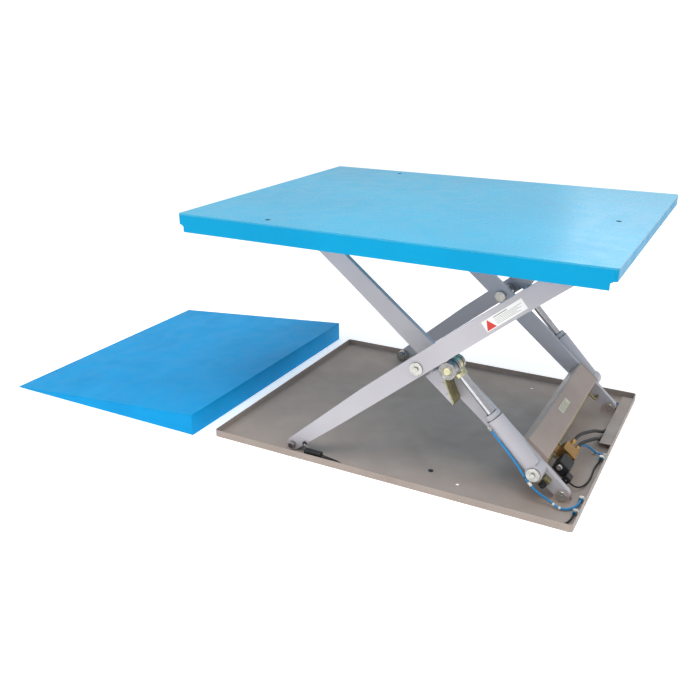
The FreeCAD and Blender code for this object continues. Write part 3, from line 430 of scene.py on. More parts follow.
lever_pivot = Vector(joints["limit_lever_swing"]["pos_m"])
lever_tip = Vector((-0.298, -0.508, 0.044))
lever_axis = (lever_tip - lever_pivot).normalized()
across = Vector((0, 1, 0))
lever_place = (Matrix.Translation(lever_pivot)
               @ Matrix((lever_axis, across, lever_axis.cross(across))).transposed().to_4x4())
lever = bmesh.new()
block(lever, lever_place, (0, 0.0003, -0.0035), (0.0288, 0.0033, 0.0035), 0.0007)
turn(lever, along_y(lever_pivot.x, lever_pivot.y + 0.0003, lever_pivot.z),
     [(0, 0), (0, 0.007), (0.0024, 0.007), (0.003, 0.0064), (0.003, 0.003), (0.0024, 0.0026),
      (0.0024, 0)], 28)
piece("limit_lever_bar", lever, "limit_lever", bright_zinc, "zinc_steel", "limit_lever")
lever_wheel = bmesh.new()
turn(lever_wheel, along_y(lever_tip.x, lever_tip.y + 0.0033, lever_tip.z),
     [(0, 0), (0, 0.0075), (0.001, 0.0085), (0.005, 0.0085), (0.006, 0.0075), (0.006, 0.0045),
      (0.0052, 0.004), (0.0052, 0)], 32)
piece("limit_lever_roller", lever_wheel, "limit_lever", nylon_housing, "black_plastic")

# --- Inner arms and torsion box ---
# Two flame-cut 20 mm bars, light grey, turn on the base pins. A heavy square tube is welded
# between them near their feet and keeps the two sides in step.

arm_paint = powder_coat("light_grey_powder_coat", "#BEBBC1", "#B6B3B9", 0.42)
for side in ("near", "far"):
    eased_part(f"inner_arm_bar_{side}", f"inner_arm_{side}", "inner_arms", arm_paint, "arm_grey", 0.0012)
eased_part("torsion_tube", "torsion_box", "inner_arms", box_paint, "box_grey", 0.0006)


def arm_frame(origin, along, y=0.0):
    """A frame at a pivot, its local X along a bar and its local Y along +Y."""
    along = Vector(along).normalized()
    columns = Matrix((along, (0, 1, 0), (-along.z, 0, along.x))).transposed().to_4x4()
    return Matrix.Translation(Vector(origin) + Vector((0, y, 0))) @ columns


centre = Vector(joints["centre_pivot"]["pos_m"])
deck_pivot = Vector(joints["deck_pivot"]["pos_m"])
half_arm = (base_pivot - centre).length
inner = arm_frame(centre, base_pivot - centre)
outer = arm_frame(centre, deck_pivot - centre)

tube_seams = bmesh.new()
for side in (-1, 1):
    for start, end, fillet in (((0.411, 0.0425), (0.501, 0.0425), 0.0026),
                               ((0.411, -0.0245), (0.501, -0.0245), 0.0014),
                               ((0.4085, -0.018), (0.4085, 0.036), 0.0026),
                               ((0.5035, -0.018), (0.5035, 0.036), 0.0026)):
        weld(tube_seams, inner @ Vector((start[0], side * 0.3588, start[1])),
             inner @ Vector((end[0], side * 0.3588, end[1])), fillet)
piece("torsion_tube_welds", tube_seams, "inner_arms", box_paint, "box_grey")

tube_caps = bmesh.new()
for y in (-0.3597, 0.3557):
    block(tube_caps, inner, (0.4135, y, -0.0215), (0.4985, y + 0.004, 0.0385), 0.0005, 1)
piece("torsion_tube_end_caps", tube_caps, "inner_arms", box_paint, "box_grey")

cream_label = moulded("cream_rating_foil", "#DCD6BE", 0.4, 0.0008)
rating_plate = bmesh.new()
block(rating_plate, inner, (0.4365, -0.060, 0.0429), (0.4605, 0.042, 0.0434), 0.0002, 1)
piece("rating_plate", rating_plate, "inner_arms", cream_label, "box_grey")
printed_grey = moulded("printed_grey_ink", "#8C8A84", 0.5, 0.001)
rating_bars = bmesh.new()
for n in range(5):
    block(rating_bars, inner, (0.4395 + 0.0042 * n, -0.054, 0.04338),
          (0.4412 + 0.0042 * n, 0.036 - 0.009 * (n % 3), 0.04348), 0.00004, 1)
piece("rating_plate_print", rating_bars, "inner_arms", printed_grey, "box_grey")

# --- Cams, their plates and screws ---
# A machined wedge block is welded outside each inner arm. A hardened, yellow-passivated plate on it
# is the track that the ram's rollers push along; three screws hold its backing strip.

yellow_zinc = plated("yellow_passivated_zinc", "#AFA67E", "#938E68", 0.36)
eased_part("wedge_blocks", "lower_cams", "inner_arms", arm_paint, "olive_zinc", 0.001)
eased_part("cam_track_plates", "cam_plates", "inner_arms", yellow_zinc, "olive_zinc", 0.0006, corner=60)
screws = bmesh.new()
wedge_top, wedge_tip = Vector((0.048, 0, 0.031)), Vector((0.166, 0, -0.030))
slope = (wedge_tip - wedge_top).normalized()
for side in (-1, 1):
    for share in (0.12, 0.4, 0.68):
        spot = wedge_top.lerp(wedge_tip, share) + Vector((slope.z, 0, -slope.x)) * 0.008
        spot = inner @ Vector((spot.x, side * 0.440, spot.z))
        turn(screws, along_y(*spot, side), [(0, 0), (0, 0.004), (0.0019, 0.004), (0.0025, 0.0034),
                                            (0.0025, 0.002), (0.001, 0.0019), (0.001, 0)], 24)
piece("cam_plate_screws", screws, "inner_arms", bright_zinc, "zinc_steel", "cam_screws")

# --- Foot pins, centre pins and deck axles ---
# Turned steel pins carry the cylinders and the outer arms. A plated disc and a bolt hold each one.
# The axles of the deck rollers are shrunk into the arms' upper eyes.


def held_pin(bm, place, shaft, disc, end):
    """A pin's disc, and the bolt through it, outside a shaft given as (start, radius, stop)."""
    turn(bm, place, [(shaft[0], 0), (shaft[0], shaft[1]), (shaft[2], shaft[1]), (shaft[2], 0)])
    turn(bm, place, [(shaft[2], 0), (shaft[2], disc), (end - 0.0008, disc), (end, disc - 0.0008), (end, 0)])


foot_pins = bmesh.new()
centre_pins = bmesh.new()
deck_axles = bmesh.new()
for side in (-1, 1):
    foot = inner @ Vector((0.496, 0, 0.008))
    held_pin(foot_pins, along_y(foot.x, 0, foot.z, side), (0.380, 0.01495, 0.442), 0.023, 0.447)
    hex_head(foot_pins, along_y(foot.x, side * 0.447, foot.z, side), 0.0168, 0.0068)
    held_pin(centre_pins, along_y(centre.x, 0, centre.z, side), (0.342, 0.017, 0.4965), 0.022, 0.5015)
    turn(centre_pins, along_y(centre.x, 0, centre.z, side),
         [(0.342, 0.017), (0.342, 0.021), (0.343, 0.022), (0.36, 0.022), (0.36, 0.017)], hollow=True)
    turn(centre_pins, along_y(centre.x, 0, centre.z, side),
         [(0.380, 0.017), (0.380, 0.022), (0.4755, 0.022), (0.4755, 0.017)], hollow=True)
    hex_head(centre_pins, along_y(centre.x, side * 0.5015, centre.z, side), 0.0166, 0.006)
    upper_eye = inner @ Vector((-half_arm, 0, 0))
    turn(deck_axles, along_y(upper_eye.x, 0, upper_eye.z, side),
         [(0.3235, 0), (0.3235, 0.015), (0.3245, 0.016), (0.327, 0.016), (0.327, 0.012), (0.360, 0.012),
          (0.360, 0.01255), (0.379, 0.01255), (0.380, 0.0115), (0.380, 0)])
piece("cylinder_foot_pins", foot_pins, "inner_arms", bright_zinc, "zinc_steel", "foot_pins")
piece("centre_pin_set", centre_pins, "inner_arms", bright_zinc, "zinc_steel", "centre_pins")
turned_steel = plated("turned_steel", "#BBB9B6", "#A3A19E", 0.28)
piece("deck_roller_axles", deck_axles, "inner_arms", turned_steel, "bare_steel", "deck_axles")

# --- Hydraulic manifold, valve, pipes and fuse blocks ---
# A brass-coloured aluminium block on a bracket at the torsion tube's foot side shares the oil
# between both rams. It has hexagon ports, a solenoid valve, bent steel pipes and burst-hose fuses.

manifold_alloy = plated("gold_anodised_alloy", "#B8935F", "#A58252", 0.4)
manifold = bmesh.new()
block(manifold, inner, (0.524, -0.236, 0.0072), (0.579, -0.176, 0.045), 0.0012)
block(manifold, inner, (0.503, -0.231, 0.003), (0.571, -0.181, 0.0071), 0.0006)
for u, y in ((0.530, -0.230), (0.530, -0.182), (0.573, -0.206)):
    place = inner @ Matrix.Translation((u, y, 0.0445)) @ turned(-90, "Y")
    turn(manifold, place, [(0, 0.0018), (0, 0.0042), (0.0006, 0.0042), (0.0005, 0.002)], 20, hollow=True)
piece("oil_manifold", manifold, "inner_arms", manifold_alloy, "manifold_brass", "manifold_block")

brass = plated("machined_brass", "#BC9659", "#A5804A", 0.3)
unions = bmesh.new()
for u, v, radius, reach in ((0.548, 0.034, 0.0085, 0.048), (0.571, 0.032, 0.0085, 0.036),
                            (0.574, 0.012, 0.0065, 0.024)):
    place = inner @ along_y(u, -0.176, v)
    hex_head(unions, place, radius * 1.7, reach * 0.3)
    turn(unions, place, [(reach * 0.29, 0), (reach * 0.29, radius * 0.72),
                         (reach * 0.42, radius * 0.72)]
         + ribbed(reach * 0.42, reach * 0.6, radius * 0.86, 0.0004, 0.0015)
         + [(reach * 0.62, radius * 0.98), (reach - 0.001, radius * 0.98), (reach, radius * 0.88),
            (reach, 0)], 28)
for u, y, v in ((0.552, 0.3482, -0.016), (0.516, -0.360, 0.006)):
    hex_head(unions, inner @ along_y(u, y, v), 0.0152, 0.0075)
    turn(unions, inner @ along_y(u, y, v), [(0.0074, 0.005), (0.0074, 0.0078), (0.011, 0.0078),
                                            (0.0117, 0.007), (0.0117, 0.005)], 28, hollow=True)
piece("hose_and_pipe_unions", unions, "inner_arms", brass, "manifold_brass", "pipe_unions")

valve = bmesh.new()
block(valve, inner, (0.537, -0.312, 0.001), (0.583, -0.248, 0.043), 0.003, 3)
for n in range(3):
    block(valve, inner, (0.5366, -0.300 + 0.016 * n, 0.006), (0.5372, -0.292 + 0.016 * n, 0.038), 0.0002, 1)
block(valve, inner, (0.5828, -0.330, 0.004), (0.607, -0.296, 0.030), 0.002, 3)
block(valve, inner, (0.586, -0.3265, 0.0298), (0.604, -0.2995, 0.0302), 0.0001, 1)
turn(valve, inner @ along_y(0.603, -0.3225, 0.017, -1),
     [(0, 0), (0, 0.0062), (0.006, 0.0052), (0.0075, 0.004), (0.0075, 0)], 20)
piece("solenoid_coil_and_plug", valve, "inner_arms", nylon_housing, "black_plastic", "solenoid_valve")
valve_metal = bmesh.new()
turn(valve_metal, inner @ along_y(0.560, -0.2485, 0.022), [(0, 0), (0, 0.0135)]
     + ribbed(0.001, 0.009, 0.015, 0.0004, 0.0025) + [(0.0125, 0.0135), (0.0125, 0)], 32)
turn(valve_metal, inner @ along_y(0.552, -0.3118, 0.024, -1), [(0, 0), (0, 0.0096)]
     + ribbed(0.0008, 0.0056, 0.01, 0.0004, 0.0016)
     + [(0.0066, 0.0085), (0.007, 0.0072), (0.007, 0.004), (0.0055, 0.0035), (0.0055, 0)], 32)
turn(valve_metal, inner @ along_y(0.595, -0.3298, 0.017, -1),
     [(0, 0), (0, 0.003), (0.001, 0.003), (0.0012, 0.0012), (0.0012, 0)], 16)
piece("solenoid_nut_and_stem", valve_metal, "inner_arms", bright_zinc, "zinc_steel")


def refinish(node, material):
    """Gives a part that keeps its own shape a real finish."""
    for n in range(len(frame["nodes"][node].material_slots)):
        frame["nodes"][node].material_slots[n].material = material


refinish("steel_pipes", yellow_zinc)
eased_part("burst_fuse_blocks", "fuse_blocks", "inner_arms", yellow_zinc, "olive_zinc", 0.0007)

fuse_caps = bmesh.new()
for side in (-1, 1):
    low, high = sorted((side * 0.4035, side * 0.415))
    block(fuse_caps, inner, (0.534, low, -0.0205), (0.5555, high, 0.000), 0.002, 3)
    turn(fuse_caps, inner @ along_y(0.545, side * 0.4145, -0.0105, side), [(0, 0), (0, 0.0068)]
         + ribbed(0.001, 0.008, 0.0068, 0.0006, 0.002) + [(0.0095, 0.005), (0.0095, 0)], 24)
piece("burst_fuse_caps", fuse_caps, "inner_arms", nylon_housing, "black_plastic")

# --- Outer arms ---
# Two more 20 mm bars, outside the others, run from the deck's fixed pins to rollers in the tray.
# Each has a bronze bush on the centre pin, and the cam for the ram's upper rollers welded inside.

for side in ("near", "far"):
    eased_part(f"outer_arm_bar_{side}", f"outer_arm_{side}", "outer_arms", arm_paint, "arm_grey", 0.0012)
eased_part("upper_cam_blocks", "upper_cams", "outer_arms", arm_paint, "arm_grey", 0.0008, corner=60)
bush_bronze = plated("oiled_bearing_bronze", "#9C7A48", "#866439", 0.34)
bushes, base_axles, eye_seams = bmesh.new(), bmesh.new(), bmesh.new()
for side in (-1, 1):
    turn(bushes, along_y(centre.x, 0, centre.z, side),
         [(0.476, 0.0172), (0.4768, 0.0178), (0.4768, 0.022), (0.496, 0.022), (0.496, 0.0178),
          (0.4955, 0.0172)], hollow=True)
    lower_eye = outer @ Vector((-half_arm, 0, 0))
    turn(base_axles, along_y(lower_eye.x, 0, lower_eye.z, side),
         [(0.440, 0), (0.440, 0.015), (0.441, 0.016), (0.443, 0.016), (0.443, 0.012), (0.476, 0.012),
          (0.476, 0.01255), (0.496, 0.01255), (0.496, 0.012), (0.505, 0.012), (0.505, 0.0108),
          (0.507, 0.0108), (0.507, 0.012), (0.5108, 0.012), (0.512, 0.0108), (0.512, 0.003),
          (0.511, 0)])
    weld(eye_seams, outer @ Vector((-0.561, side * 0.4962, 0.021)), outer
         @ Vector((-0.571, side * 0.4962, -0.021)), 0.0018)
piece("centre_bearing_bushes", bushes, "outer_arms", bush_bronze, "bronze", "centre_bushes")
piece("base_roller_axles", base_axles, "outer_arms", turned_steel, "bare_steel", "base_axles")
piece("arm_end_welds", eye_seams, "outer_arms", arm_paint, "arm_grey")

label_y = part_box("outer_arm_near")[0].y
label_foil = moulded("white_vinyl_label", "#F2F2F0", 0.35, 0.001)
arm_label = bmesh.new()
block(arm_label, outer, (0.279, label_y - 0.0005, -0.0172), (0.428, label_y + 0.0001, 0.0182), 0.0001, 1)
piece("arm_label", arm_label, "outer_arms", label_foil, "arm_grey")
red_ink = moulded("printed_red_ink", "#D2322B", 0.4, 0.001)
label_triangle = bmesh.new()
bmesh.ops.create_cone(label_triangle, cap_ends=True, segments=3, radius1=0.0205, radius2=0.0205, depth=0.0002)
triangle_sign = bmesh.new()
put(triangle_sign, label_triangle, outer @ Matrix.Translation((0.2985, label_y - 0.00055, -0.0045))
    @ turned(90, "X"))
piece("arm_label_triangle", triangle_sign, "outer_arms", red_ink, "arm_grey")
label_bars = bmesh.new()
for n, (start, stop, v) in enumerate(((0.321, 0.372, 0.0125), (0.321, 0.420, 0.0065),
                                      (0.321, 0.404, 0.0022), (0.321, 0.415, -0.0021),
                                      (0.321, 0.396, -0.0064), (0.321, 0.408, -0.0107))):
    thick = 0.0026 if n == 0 else 0.0011
    block(label_bars, outer, (start, label_y - 0.00062, v - thick / 2),
          (stop, label_y - 0.00048, v + thick / 2), 0.00004, 1)
piece("arm_label_print", label_bars, "outer_arms", printed_grey, "arm_grey")

# --- Rollers ---
# Four solid steel rollers, turned and oiled, with chamfered treads and a recessed face. Two run on
# the tray's floor and two under the deck's rails.


def wheel_outline(start, stop, radius, bore, recess=0.0012):
    """A roller's half section: chamfered tread, shallow turned recess and open bore."""
    middle = (radius + bore) / 2
    return [(start, bore + 0.001), (start + 0.001, bore), (stop - 0.001, bore), (stop, bore + 0.001),
            (stop, middle - 0.003), (stop - recess, middle - 0.002), (stop - recess, middle + 0.002),
            (stop, middle + 0.003), (stop, radius - 0.0018), (stop - 0.0018, radius),
            (start + 0.0018, radius), (start, radius - 0.0018), (start, middle + 0.003),
            (start + recess, middle + 0.002), (start + recess, middle - 0.002), (start, middle - 0.003)]


for word, side in (("near", -1), ("far", 1)):
    for kind, centre_spot, start, stop in (("base", lower_eye, 0.446, 0.474),
                                           ("deck", upper_eye, 0.330, 0.358)):
        wheel = bmesh.new()
        turn(wheel, along_y(centre_spot.x, 0, centre_spot.z, side),
             wheel_outline(start, stop, 0.0247, 0.01205), 48, hollow=True)
        piece(f"{kind}_track_roller_{word}", wheel, f"{kind}_roller_{word}", turned_steel, "bare_steel",
              f"{kind}_roller_{word}")

# --- Cylinders, rods and ram heads ---
# Each ram is a welded grey barrel with a grey gland nut, a hard-chromed rod and a forged head.
# Four hardened rollers on the head's pin wedge the arms apart.

pale_zinc = plated("pale_yellow_zinc", "#DED8B8", "#C4BE96", 0.38)
chrome = plated("hard_chrome", "#C6C7CB", "#B9BABF", 0.1)
black_oxide = plated("black_oxide_steel", "#3B3B3D", "#2D2D30", 0.42)
roller_steel = plated("hardened_roller_steel", "#A9A7A5", "#8F8D8B", 0.3)
for word, side in (("near", -1), ("far", 1)):
    foot_point = Vector(joints[f"cylinder_tilt_{word}"]["pos_m"])
    ram = arm_frame(foot_point, joints[f"ram_stroke_{word}"]["axis"])
    reach = 0.4266
    cylinder = bmesh.new()
    turn(cylinder, ram @ along_y(0, -0.028, 0), [(0, 0.015), (0, 0.0265), (0.0015, 0.028), (0.0545, 0.028),
                                                 (0.056, 0.0265), (0.056, 0.015)], 48, hollow=True)
    turn(cylinder, ram, [(0.020, 0), (0.020, 0.0275), (0.0215, 0.029), (0.2125, 0.029), (0.214, 0.0275),
                         (0.214, 0.0201), (0.036, 0.0201), (0.036, 0)], 56)
    weld(cylinder, ram @ Vector((0.0215, -0.0265, 0.0)), ram @ Vector((0.0215, 0.0265, 0.0)), 0.001)
    stem = ram @ Matrix.Translation((0.196, side * 0.012, 0.012)) @ turned(side * -45, "X")
    turn(cylinder, stem @ turned(-90, "Y"), [(0, 0), (0, 0.0048), (0.0125, 0.0048), (0.0125, 0.0062),
                                             (0.0155, 0.0062), (0.0155, 0.0048), (0.019, 0.0044),
                                             (0.019, 0)], 24)
    piece(f"cylinder_barrel_{word}", cylinder, f"cylinder_{word}", arm_paint, "arm_grey", f"barrel_{word}")
    bleed_nut = bmesh.new()
    hex_head(bleed_nut, ram @ Matrix.Translation((0.188, side * 0.0255, 0.0255)), 0.0112, 0.010)
    turn(bleed_nut, ram @ Matrix.Translation((0.188, side * 0.0255, 0.0255)),
         [(0.0098, 0), (0.0098, 0.0052), (0.0155, 0.0052), (0.016, 0.0046), (0.016, 0)], 24)
    piece(f"bleed_union_{word}", bleed_nut, f"cylinder_{word}", bright_zinc, "zinc_steel")
    gland = bmesh.new()
    turn(gland, ram, [(0.194, 0.01405), (0.194, 0.01995), (0.214, 0.01995), (0.214, 0.0262)]
         + ribbed(0.2148, 0.2295, 0.027, 0.0004, 0.0018)
         + [(0.2305, 0.0262), (0.232, 0.0248), (0.232, 0.0178), (0.2312, 0.0174), (0.2312, 0.0162),
            (0.232, 0.0156), (0.232, 0.01405)], 56, hollow=True)
    piece(f"gland_nut_{word}", gland, f"cylinder_{word}", arm_paint, "arm_grey", f"gland_{word}")
    wiper = bmesh.new()
    turn(wiper, ram, [(0.2312, 0.01405), (0.2312, 0.0172), (0.2328, 0.0168), (0.2334, 0.0156),
                      (0.2334, 0.0143), (0.2322, 0.01405)], 48, hollow=True)
    turn(wiper, ram, [(0.2134, 0.0262), (0.2134, 0.0292), (0.2148, 0.0292), (0.2148, 0.0262)], 56,
         hollow=True)
    piece(f"rod_wiper_{word}", wiper, f"cylinder_{word}", hose_rubber, "black_steel")

    rod = bmesh.new()
    turn(rod, ram, [(0.1556, 0), (0.1556, 0.0185), (0.1566, 0.01995), (0.1785, 0.01995), (0.1796, 0.0185),
                    (0.1796, 0.014), (0.3945, 0.014), (0.3956, 0.013), (0.3956, 0)], 48)
    piece(f"chromed_rod_{word}", rod, f"ram_{word}", chrome, "rod_chrome", f"ram_rod_{word}")
    head = bmesh.new()
    turn(head, ram, [(0.3816, 0.0141), (0.3816, 0.0185), (0.3832, 0.020), (0.3956, 0.020),
                     (0.3956, 0.0141)], 40, hollow=True)
    block(head, ram, (0.3954, -0.012, -0.020), (0.4326, 0.012, 0.020), 0.0018, 3)
    turn(head, ram @ along_y(reach, -0.012, 0), [(0, 0), (0, 0.0255), (0.0015, 0.027), (0.0225, 0.027),
                                                 (0.024, 0.0255), (0.024, 0)], 48)
    pin_low = -0.065 if side < 0 else -0.029
    turn(head, ram @ along_y(reach, pin_low, 0), [(0, 0), (0, 0.0117), (0.0012, 0.01295), (0.0928, 0.01295),
                                                  (0.094, 0.0117), (0.094, 0)], 36)
    piece(f"forged_ram_head_{word}", head, f"ram_{word}", pale_zinc, "olive_zinc", f"ram_head_{word}")
    pair = bmesh.new()
    for start in (-0.028, 0.014):
        turn(pair, ram @ along_y(reach, 0, 0),
             wheel_outline(start, start + 0.014, 0.030, 0.01305, 0.0008), 48, hollow=True)
    piece(f"lower_cam_rollers_{word}", pair, f"lower_rollers_{word}", roller_steel, "bare_steel",
          f"lower_rollers_{word}")
    single = bmesh.new()
    start = -0.064 if side < 0 else 0.036
    turn(single, ram @ along_y(reach, 0, 0), wheel_outline(start, start + 0.028, 0.030, 0.01305), 48,
         hollow=True)
    piece(f"upper_cam_roller_{word}", single, f"upper_roller_{word}", roller_steel, "bare_steel",
          f"upper_roller_{word}")

# --- Platform ---
# A 6 mm deck plate with welded skirts, stiffened by ribs and roller rails. It is sky-blue gloss
# powder coat outside, and lifting inserts are let into its top. The skirts take a darker, near-matt
# copy of the same paint, so they read darker and deeper blue than the glossy top: painted shade.

deck_paint = powder_coat("sky_blue_powder_coat", "#00A2CC", "#009CC6", 0.26, gloss=0.6)
# Painted shade: the skirts' copy of the deck paint is a touch darker and has little gloss, so the sides look
# less lit than the top.
skirt_shaded_paint = powder_coat("sky_blue_skirt_shaded_copy", "#009CCE", "#0097C9", 0.34, gloss=0.1)
eased_part("deck_top_plate", "deck_plate", "platform", deck_paint, "deck_blue", 0.0022, 3)
eased_part("deck_skirt_set", "deck_skirts", "platform", skirt_shaded_paint, "deck_blue", 0.0009)
eased_part("deck_ribs_and_rails", "deck_stiffeners", "platform", deck_paint, "deck_blue", 0.0008)
eased_part("deck_lugs", "deck_brackets", "platform", deck_paint, "deck_blue", 0.0007)
insert_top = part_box("lifting_inserts")[1].z
inserts = bmesh.new()
for spot in ((-0.411, -0.512), (-0.411, 0.512), (0.604, 0.0)):
    place = Matrix.Translation((*spot, insert_top - 0.022)) @ turned(-90, "Y")
    turn(inserts, place, [(0, 0.009), (0, 0.007)] + [(at, radius - 0.0002) for at, radius in
                                                     ribbed(0.001, 0.0205, 0.0067, -0.0006, 0.002)]
         + [(0.0215, 0.0076), (0.0218, 0.0082), (0.0218, 0.009)], 36, hollow=True)
piece("lifting_thread_inserts", inserts, "platform", black_oxide, "black_steel", "lifting_inserts")
deck_pins = bmesh.new()
deck_pin_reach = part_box("deck_pins")[1].y
for side in (-1, 1):
    headed_pin(deck_pins, along_y(deck_pivot.x, side * deck_pin_reach, deck_pivot.z, -side), 0.01695, 0.005,
               0.01295, deck_pin_reach - 0.462)
piece("deck_pivot_pins", deck_pins, "platform", bright_zinc, "zinc_steel", "deck_pins")
deck_low, deck_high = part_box("deck_plate")
skirt_seams = bmesh.new()
for y in (deck_low.y + 0.0086, deck_high.y - 0.0086):
    seam_y = y - math.copysign(0.0034, y)
    for x in (-0.62, -0.30, 0.02, 0.34, 0.60):
        weld(skirt_seams, (x - 0.03, seam_y, deck_low.z), (x + 0.03, seam_y, deck_low.z), 0.002)
piece("skirt_stitch_welds", skirt_seams, "platform", deck_paint, "deck_blue")
skirt_corners = bmesh.new()
skirt_sheet, skirt_bend, end_skirt_depth = 0.005, 0.009, 0.0375
skirt_low = deck_high.z - end_skirt_depth
for x_way in (-1, 1):
    for y_way in (-1, 1):
        x = deck_high.x - skirt_bend if x_way > 0 else deck_low.x + skirt_bend
        y = deck_high.y - skirt_bend if y_way > 0 else deck_low.y + skirt_bend
        middle = (x + x_way * (skirt_bend - skirt_sheet / 2), y, (skirt_low + deck_low.z) / 2)
        upright = (Matrix.Translation(middle) @ turned(90, "X")
                   @ Matrix.Diagonal((skirt_sheet, deck_low.z - skirt_low, 1, 1)))
        end = bmesh.ops.create_grid(skirt_corners, x_segments=1, y_segments=1, size=0.5,
                                    matrix=upright)["verts"][0].link_faces[0]
        bmesh.ops.spin(skirt_corners, geom=[*end.verts, *end.edges, end], cent=(x, y, 0), axis=(0, 0, 1),
                       angle=math.radians(90) * x_way * y_way, steps=8)
bmesh.ops.recalc_face_normals(skirt_corners, faces=skirt_corners.faces)
piece("folded_skirt_corners", skirt_corners, "platform", skirt_shaded_paint, "deck_blue")

# --- Drive-up ramp ---
# A loose wedge of blue sheet on welded webs, parked at the deck's roller end. Its paint mixes in a
# slightly paler blue in cloudy patches all over, with small darker flecks.

# The second tone passed as dust is a slightly paler blue, spread in cloudy patches over the whole ramp.
ramp_paint = powder_coat("ramp_blue_powder_coat", "#009CDC", "#0095D4", 0.36, dust="#06A0E0", gloss=0.08)
eased_part("ramp_top_sheet", "ramp_plate", "ramp", ramp_paint, "deck_blue", 0.0009)
eased_part("ramp_webs", "ramp_frame", "ramp", ramp_paint, "deck_blue", 0.0008)

# --- Hoses, tubes and cables ---
# Two black pressure hoses, blue polyurethane leak-off tubes and thin black cables run from the
# moving arms to the rim. Each is a fixed length.

tube_radius, hose_radius, lead_radius = 0.004, 0.006, 0.003
blue_polyurethane = moulded("blue_polyurethane_tube", "#2584BE", 0.28, 0.003)
cable_sheath = moulded("cable_pvc", "#0B0B0C", 0.48, 0.0015)


def flexible_line(name, points, radius, material, nodes, body="base", bends=None):
    """A hose on one smooth line. It rides on its body, or, when bends are given, stays fixed in place on no
    body.
    """
    curve = bpy.data.curves.new(name, "CURVE")
    curve.dimensions = "3D"
    spline = curve.splines.new("NURBS")
    spline.points.add(len(points) - 1)
    for spot, point in zip(spline.points, points):
        spot.co = (*point, 1)
    spline.order_u = 3
    spline.use_endpoint_u = True
    curve.resolution_u = 12
    line = bpy.data.objects.new(name + "_line", curve)
    bpy.context.scene.collection.objects.link(line)
    path = [list(vert.co) for vert in bpy.data.meshes.new_from_object(line).vertices]
    curve.bevel_depth = radius
    curve.bevel_resolution = 5
    curve.use_fill_caps = True
    tube = bpy.data.meshes.new_from_object(line)
    bpy.data.objects.remove(line)
    bm = bmesh.new()
    bm.from_mesh(tube)
    bmesh.ops.remove_doubles(bm, verts=bm.verts, dist=0.00001)
    bmesh.ops.recalc_face_normals(bm, faces=bm.faces)
    tube.name = name
    bm.to_mesh(tube)
    bm.free()
    tube.materials.clear()
    tube.materials.append(material)
    tube.shade_smooth()
    made = bpy.data.objects.new(name, tube)
    bpy.context.scene.collection.objects.link(made)
    if bends:
        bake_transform(made)
    else:
        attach(made, body)
    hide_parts(*nodes)
    return path


white_clip = moulded("white_nylon_clip", "#E4E4E0", 0.4, 0.001)


def band(line, near, radius, width, thick):
    """A narrow sleeve round a line, beside the point of its path nearest to a given one."""
    path = [Vector(spot) for spot in line]
    n = min(range(1, len(path) - 1), key=lambda k: (path[k] - Vector(near)).length)
    along = (path[n + 1] - path[n - 1]).normalized()
    ring = bmesh.new()
    turn(ring, Matrix.Translation(path[n]) @ along.to_track_quat("X", "Z").to_matrix().to_4x4(),
         [(-width / 2, radius), (-width / 2, radius + thick * 0.7), (-width * 0.35, radius + thick),
          (width * 0.35, radius + thick), (width / 2, radius + thick * 0.7), (width / 2, radius)], 24,
         hollow=True)
    return ring


bleed_route = [(0.5108, -0.4438, 0.0693), (0.5244, -0.4438, 0.055), (0.546, -0.434, 0.038),
               (0.572, -0.431, 0.022), (0.600, -0.440, 0.012), (0.626, -0.434, 0.010),
               (0.643, -0.414, 0.011), (0.653, -0.396, 0.014), (0.654, -0.381, 0.015),
               (0.654, -0.368, 0.015)]
for word, side in (("near", 1), ("far", -1)):
    near_hinge, near_arm = (0.600, side * -0.440, 0.012), (0.5244, side * -0.4438, 0.055)
    route = [(x, side * y, z) for x, y, z in bleed_route]
    line = flexible_line(f"leak_off_tube_{word}", route, tube_radius, blue_polyurethane,
                         ["bleed_loops"],
                         bends=(near_hinge, near_arm))
    for n, spot in enumerate(((0.583, side * -0.433, 0.018), (0.604, side * -0.438, 0.012))):
        sleeve = piece(f"tube_band_{word}_{n}", band(line, spot, tube_radius, 0.007, 0.0007), "base",
                       white_clip, "blue_tube")
        sleeve.parent = None
        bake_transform(sleeve)
flexible_line("pressure_hose_long", [(0.5683, -0.128, 0.0954), (0.5683, -0.102, 0.0954),
                                     (0.575, -0.058, 0.092), (0.588, -0.004, 0.078),
                                     (0.603, 0.056, 0.060), (0.615, 0.108, 0.035),
                                     (0.619, 0.146, 0.017), (0.629, 0.190, 0.0128),
                                     (0.641, 0.228, 0.0126), (0.645, 0.262, 0.0126)], hose_radius,
              hose_rubber, ["pressure_hoses"],
              bends=((0.615, 0.108, 0.035), (0.5683, -0.102, 0.0954)))
flexible_line("pressure_hose_short", [(0.5847, -0.140, 0.0793), (0.5847, -0.114, 0.0793),
                                      (0.592, -0.078, 0.074), (0.604, -0.026, 0.060),
                                      (0.615, 0.030, 0.043), (0.619, 0.068, 0.022),
                                      (0.623, 0.100, 0.0134), (0.634, 0.140, 0.0128),
                                      (0.644, 0.180, 0.0126)], hose_radius, hose_rubber,
              ["pressure_hoses"],
              bends=((0.615, 0.030, 0.043), (0.5847, -0.114, 0.0793)))
flexible_line("return_oil_tube", [(0.5744, -0.152, 0.062), (0.5744, -0.128, 0.062),
                                  (0.580, -0.088, 0.060), (0.592, -0.056, 0.052),
                                  (0.606, -0.038, 0.038), (0.622, -0.030, 0.022),
                                  (0.638, -0.030, 0.015), (0.654, -0.030, 0.015)], tube_radius,
              blue_polyurethane, ["return_tube"],
              bends=((0.622, -0.030, 0.022), (0.5744, -0.128, 0.062)))
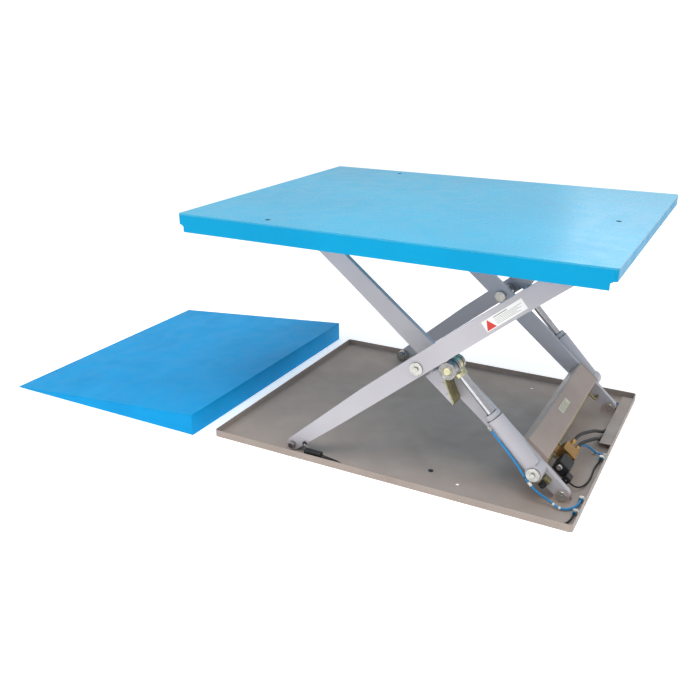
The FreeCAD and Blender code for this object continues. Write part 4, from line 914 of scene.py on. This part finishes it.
flexible_line("valve_lead", [(0.6031, -0.322, 0.0448), (0.6139, -0.322, 0.0359), (0.630, -0.304, 0.021),
                             (0.642, -0.268, 0.012), (0.648, -0.226, 0.007), (0.649, -0.180, 0.0065),
                             (0.646, -0.140, 0.0065), (0.648, -0.108, 0.009), (0.654, -0.086, 0.015),
                             (0.654, -0.066, 0.015)], lead_radius, cable_sheath,
              ["valve_cable"],
              bends=((0.642, -0.268, 0.012), (0.6139, -0.322, 0.0359)))
switch_route = [(-0.172, -0.519, 0.020), (-0.158, -0.519, 0.020), (-0.130, -0.5205, 0.011),
                (-0.092, -0.525, 0.007), (-0.050, -0.528, 0.0065), (0.0, -0.5285, 0.0062)]
switch_route += [(0.05 * n, -0.528 - 0.0006 * (n % 2 == 0), 0.0065 - 0.0003 * (n % 2 == 0))
                 for n in range(1, 11)]
switch_route += [(0.548, -0.528, 0.0065), (0.592, -0.527, 0.0064), (0.626, -0.521, 0.0066),
                 (0.645, -0.504, 0.008), (0.653, -0.484, 0.013), (0.654, -0.466, 0.015),
                 (0.654, -0.452, 0.015)]
flexible_line("limit_switch_lead", switch_route, lead_radius, cable_sheath, ["switch_cable"])

barrel_route = [(0.188, 0.0255, 0.0255), (0.160, 0.0255, 0.0255), (0.096, 0.0248, 0.0248),
                (0.046, 0.027, 0.026), (0.014, 0.0338, 0.0275), (-0.027, 0.0338, 0.0275)]
for word, side in (("near", -1), ("far", 1)):
    ram = arm_frame(joints[f"cylinder_tilt_{word}"]["pos_m"], joints[f"ram_stroke_{word}"]["axis"])
    route = [ram @ Vector((x, side * y, z)) for x, y, z in barrel_route]
    line = flexible_line(f"barrel_tube_{word}", route, tube_radius, blue_polyurethane,
                         [f"bleed_tube_{word}"], body=f"cylinder_{word}")
    piece(f"barrel_tube_tie_{word}", band(line, ram @ Vector((0.008, side * 0.0332, 0.0273)),
                                          tube_radius, 0.0036, 0.0012), f"cylinder_{word}",
          nylon_housing, "black_plastic")
    collar = bmesh.new()
    turn(collar, ram @ Matrix.Translation((-0.027, side * 0.0338, 0.0275)),
         [(0, 0.0041), (0, 0.0049), (0.001, 0.0054), (0.014, 0.0054), (0.015, 0.0049), (0.015, 0.0041)], 28,
         hollow=True)
    piece(f"tube_joint_{word}", collar, f"cylinder_{word}", white_clip, "zinc_steel", f"tube_collar_{word}")
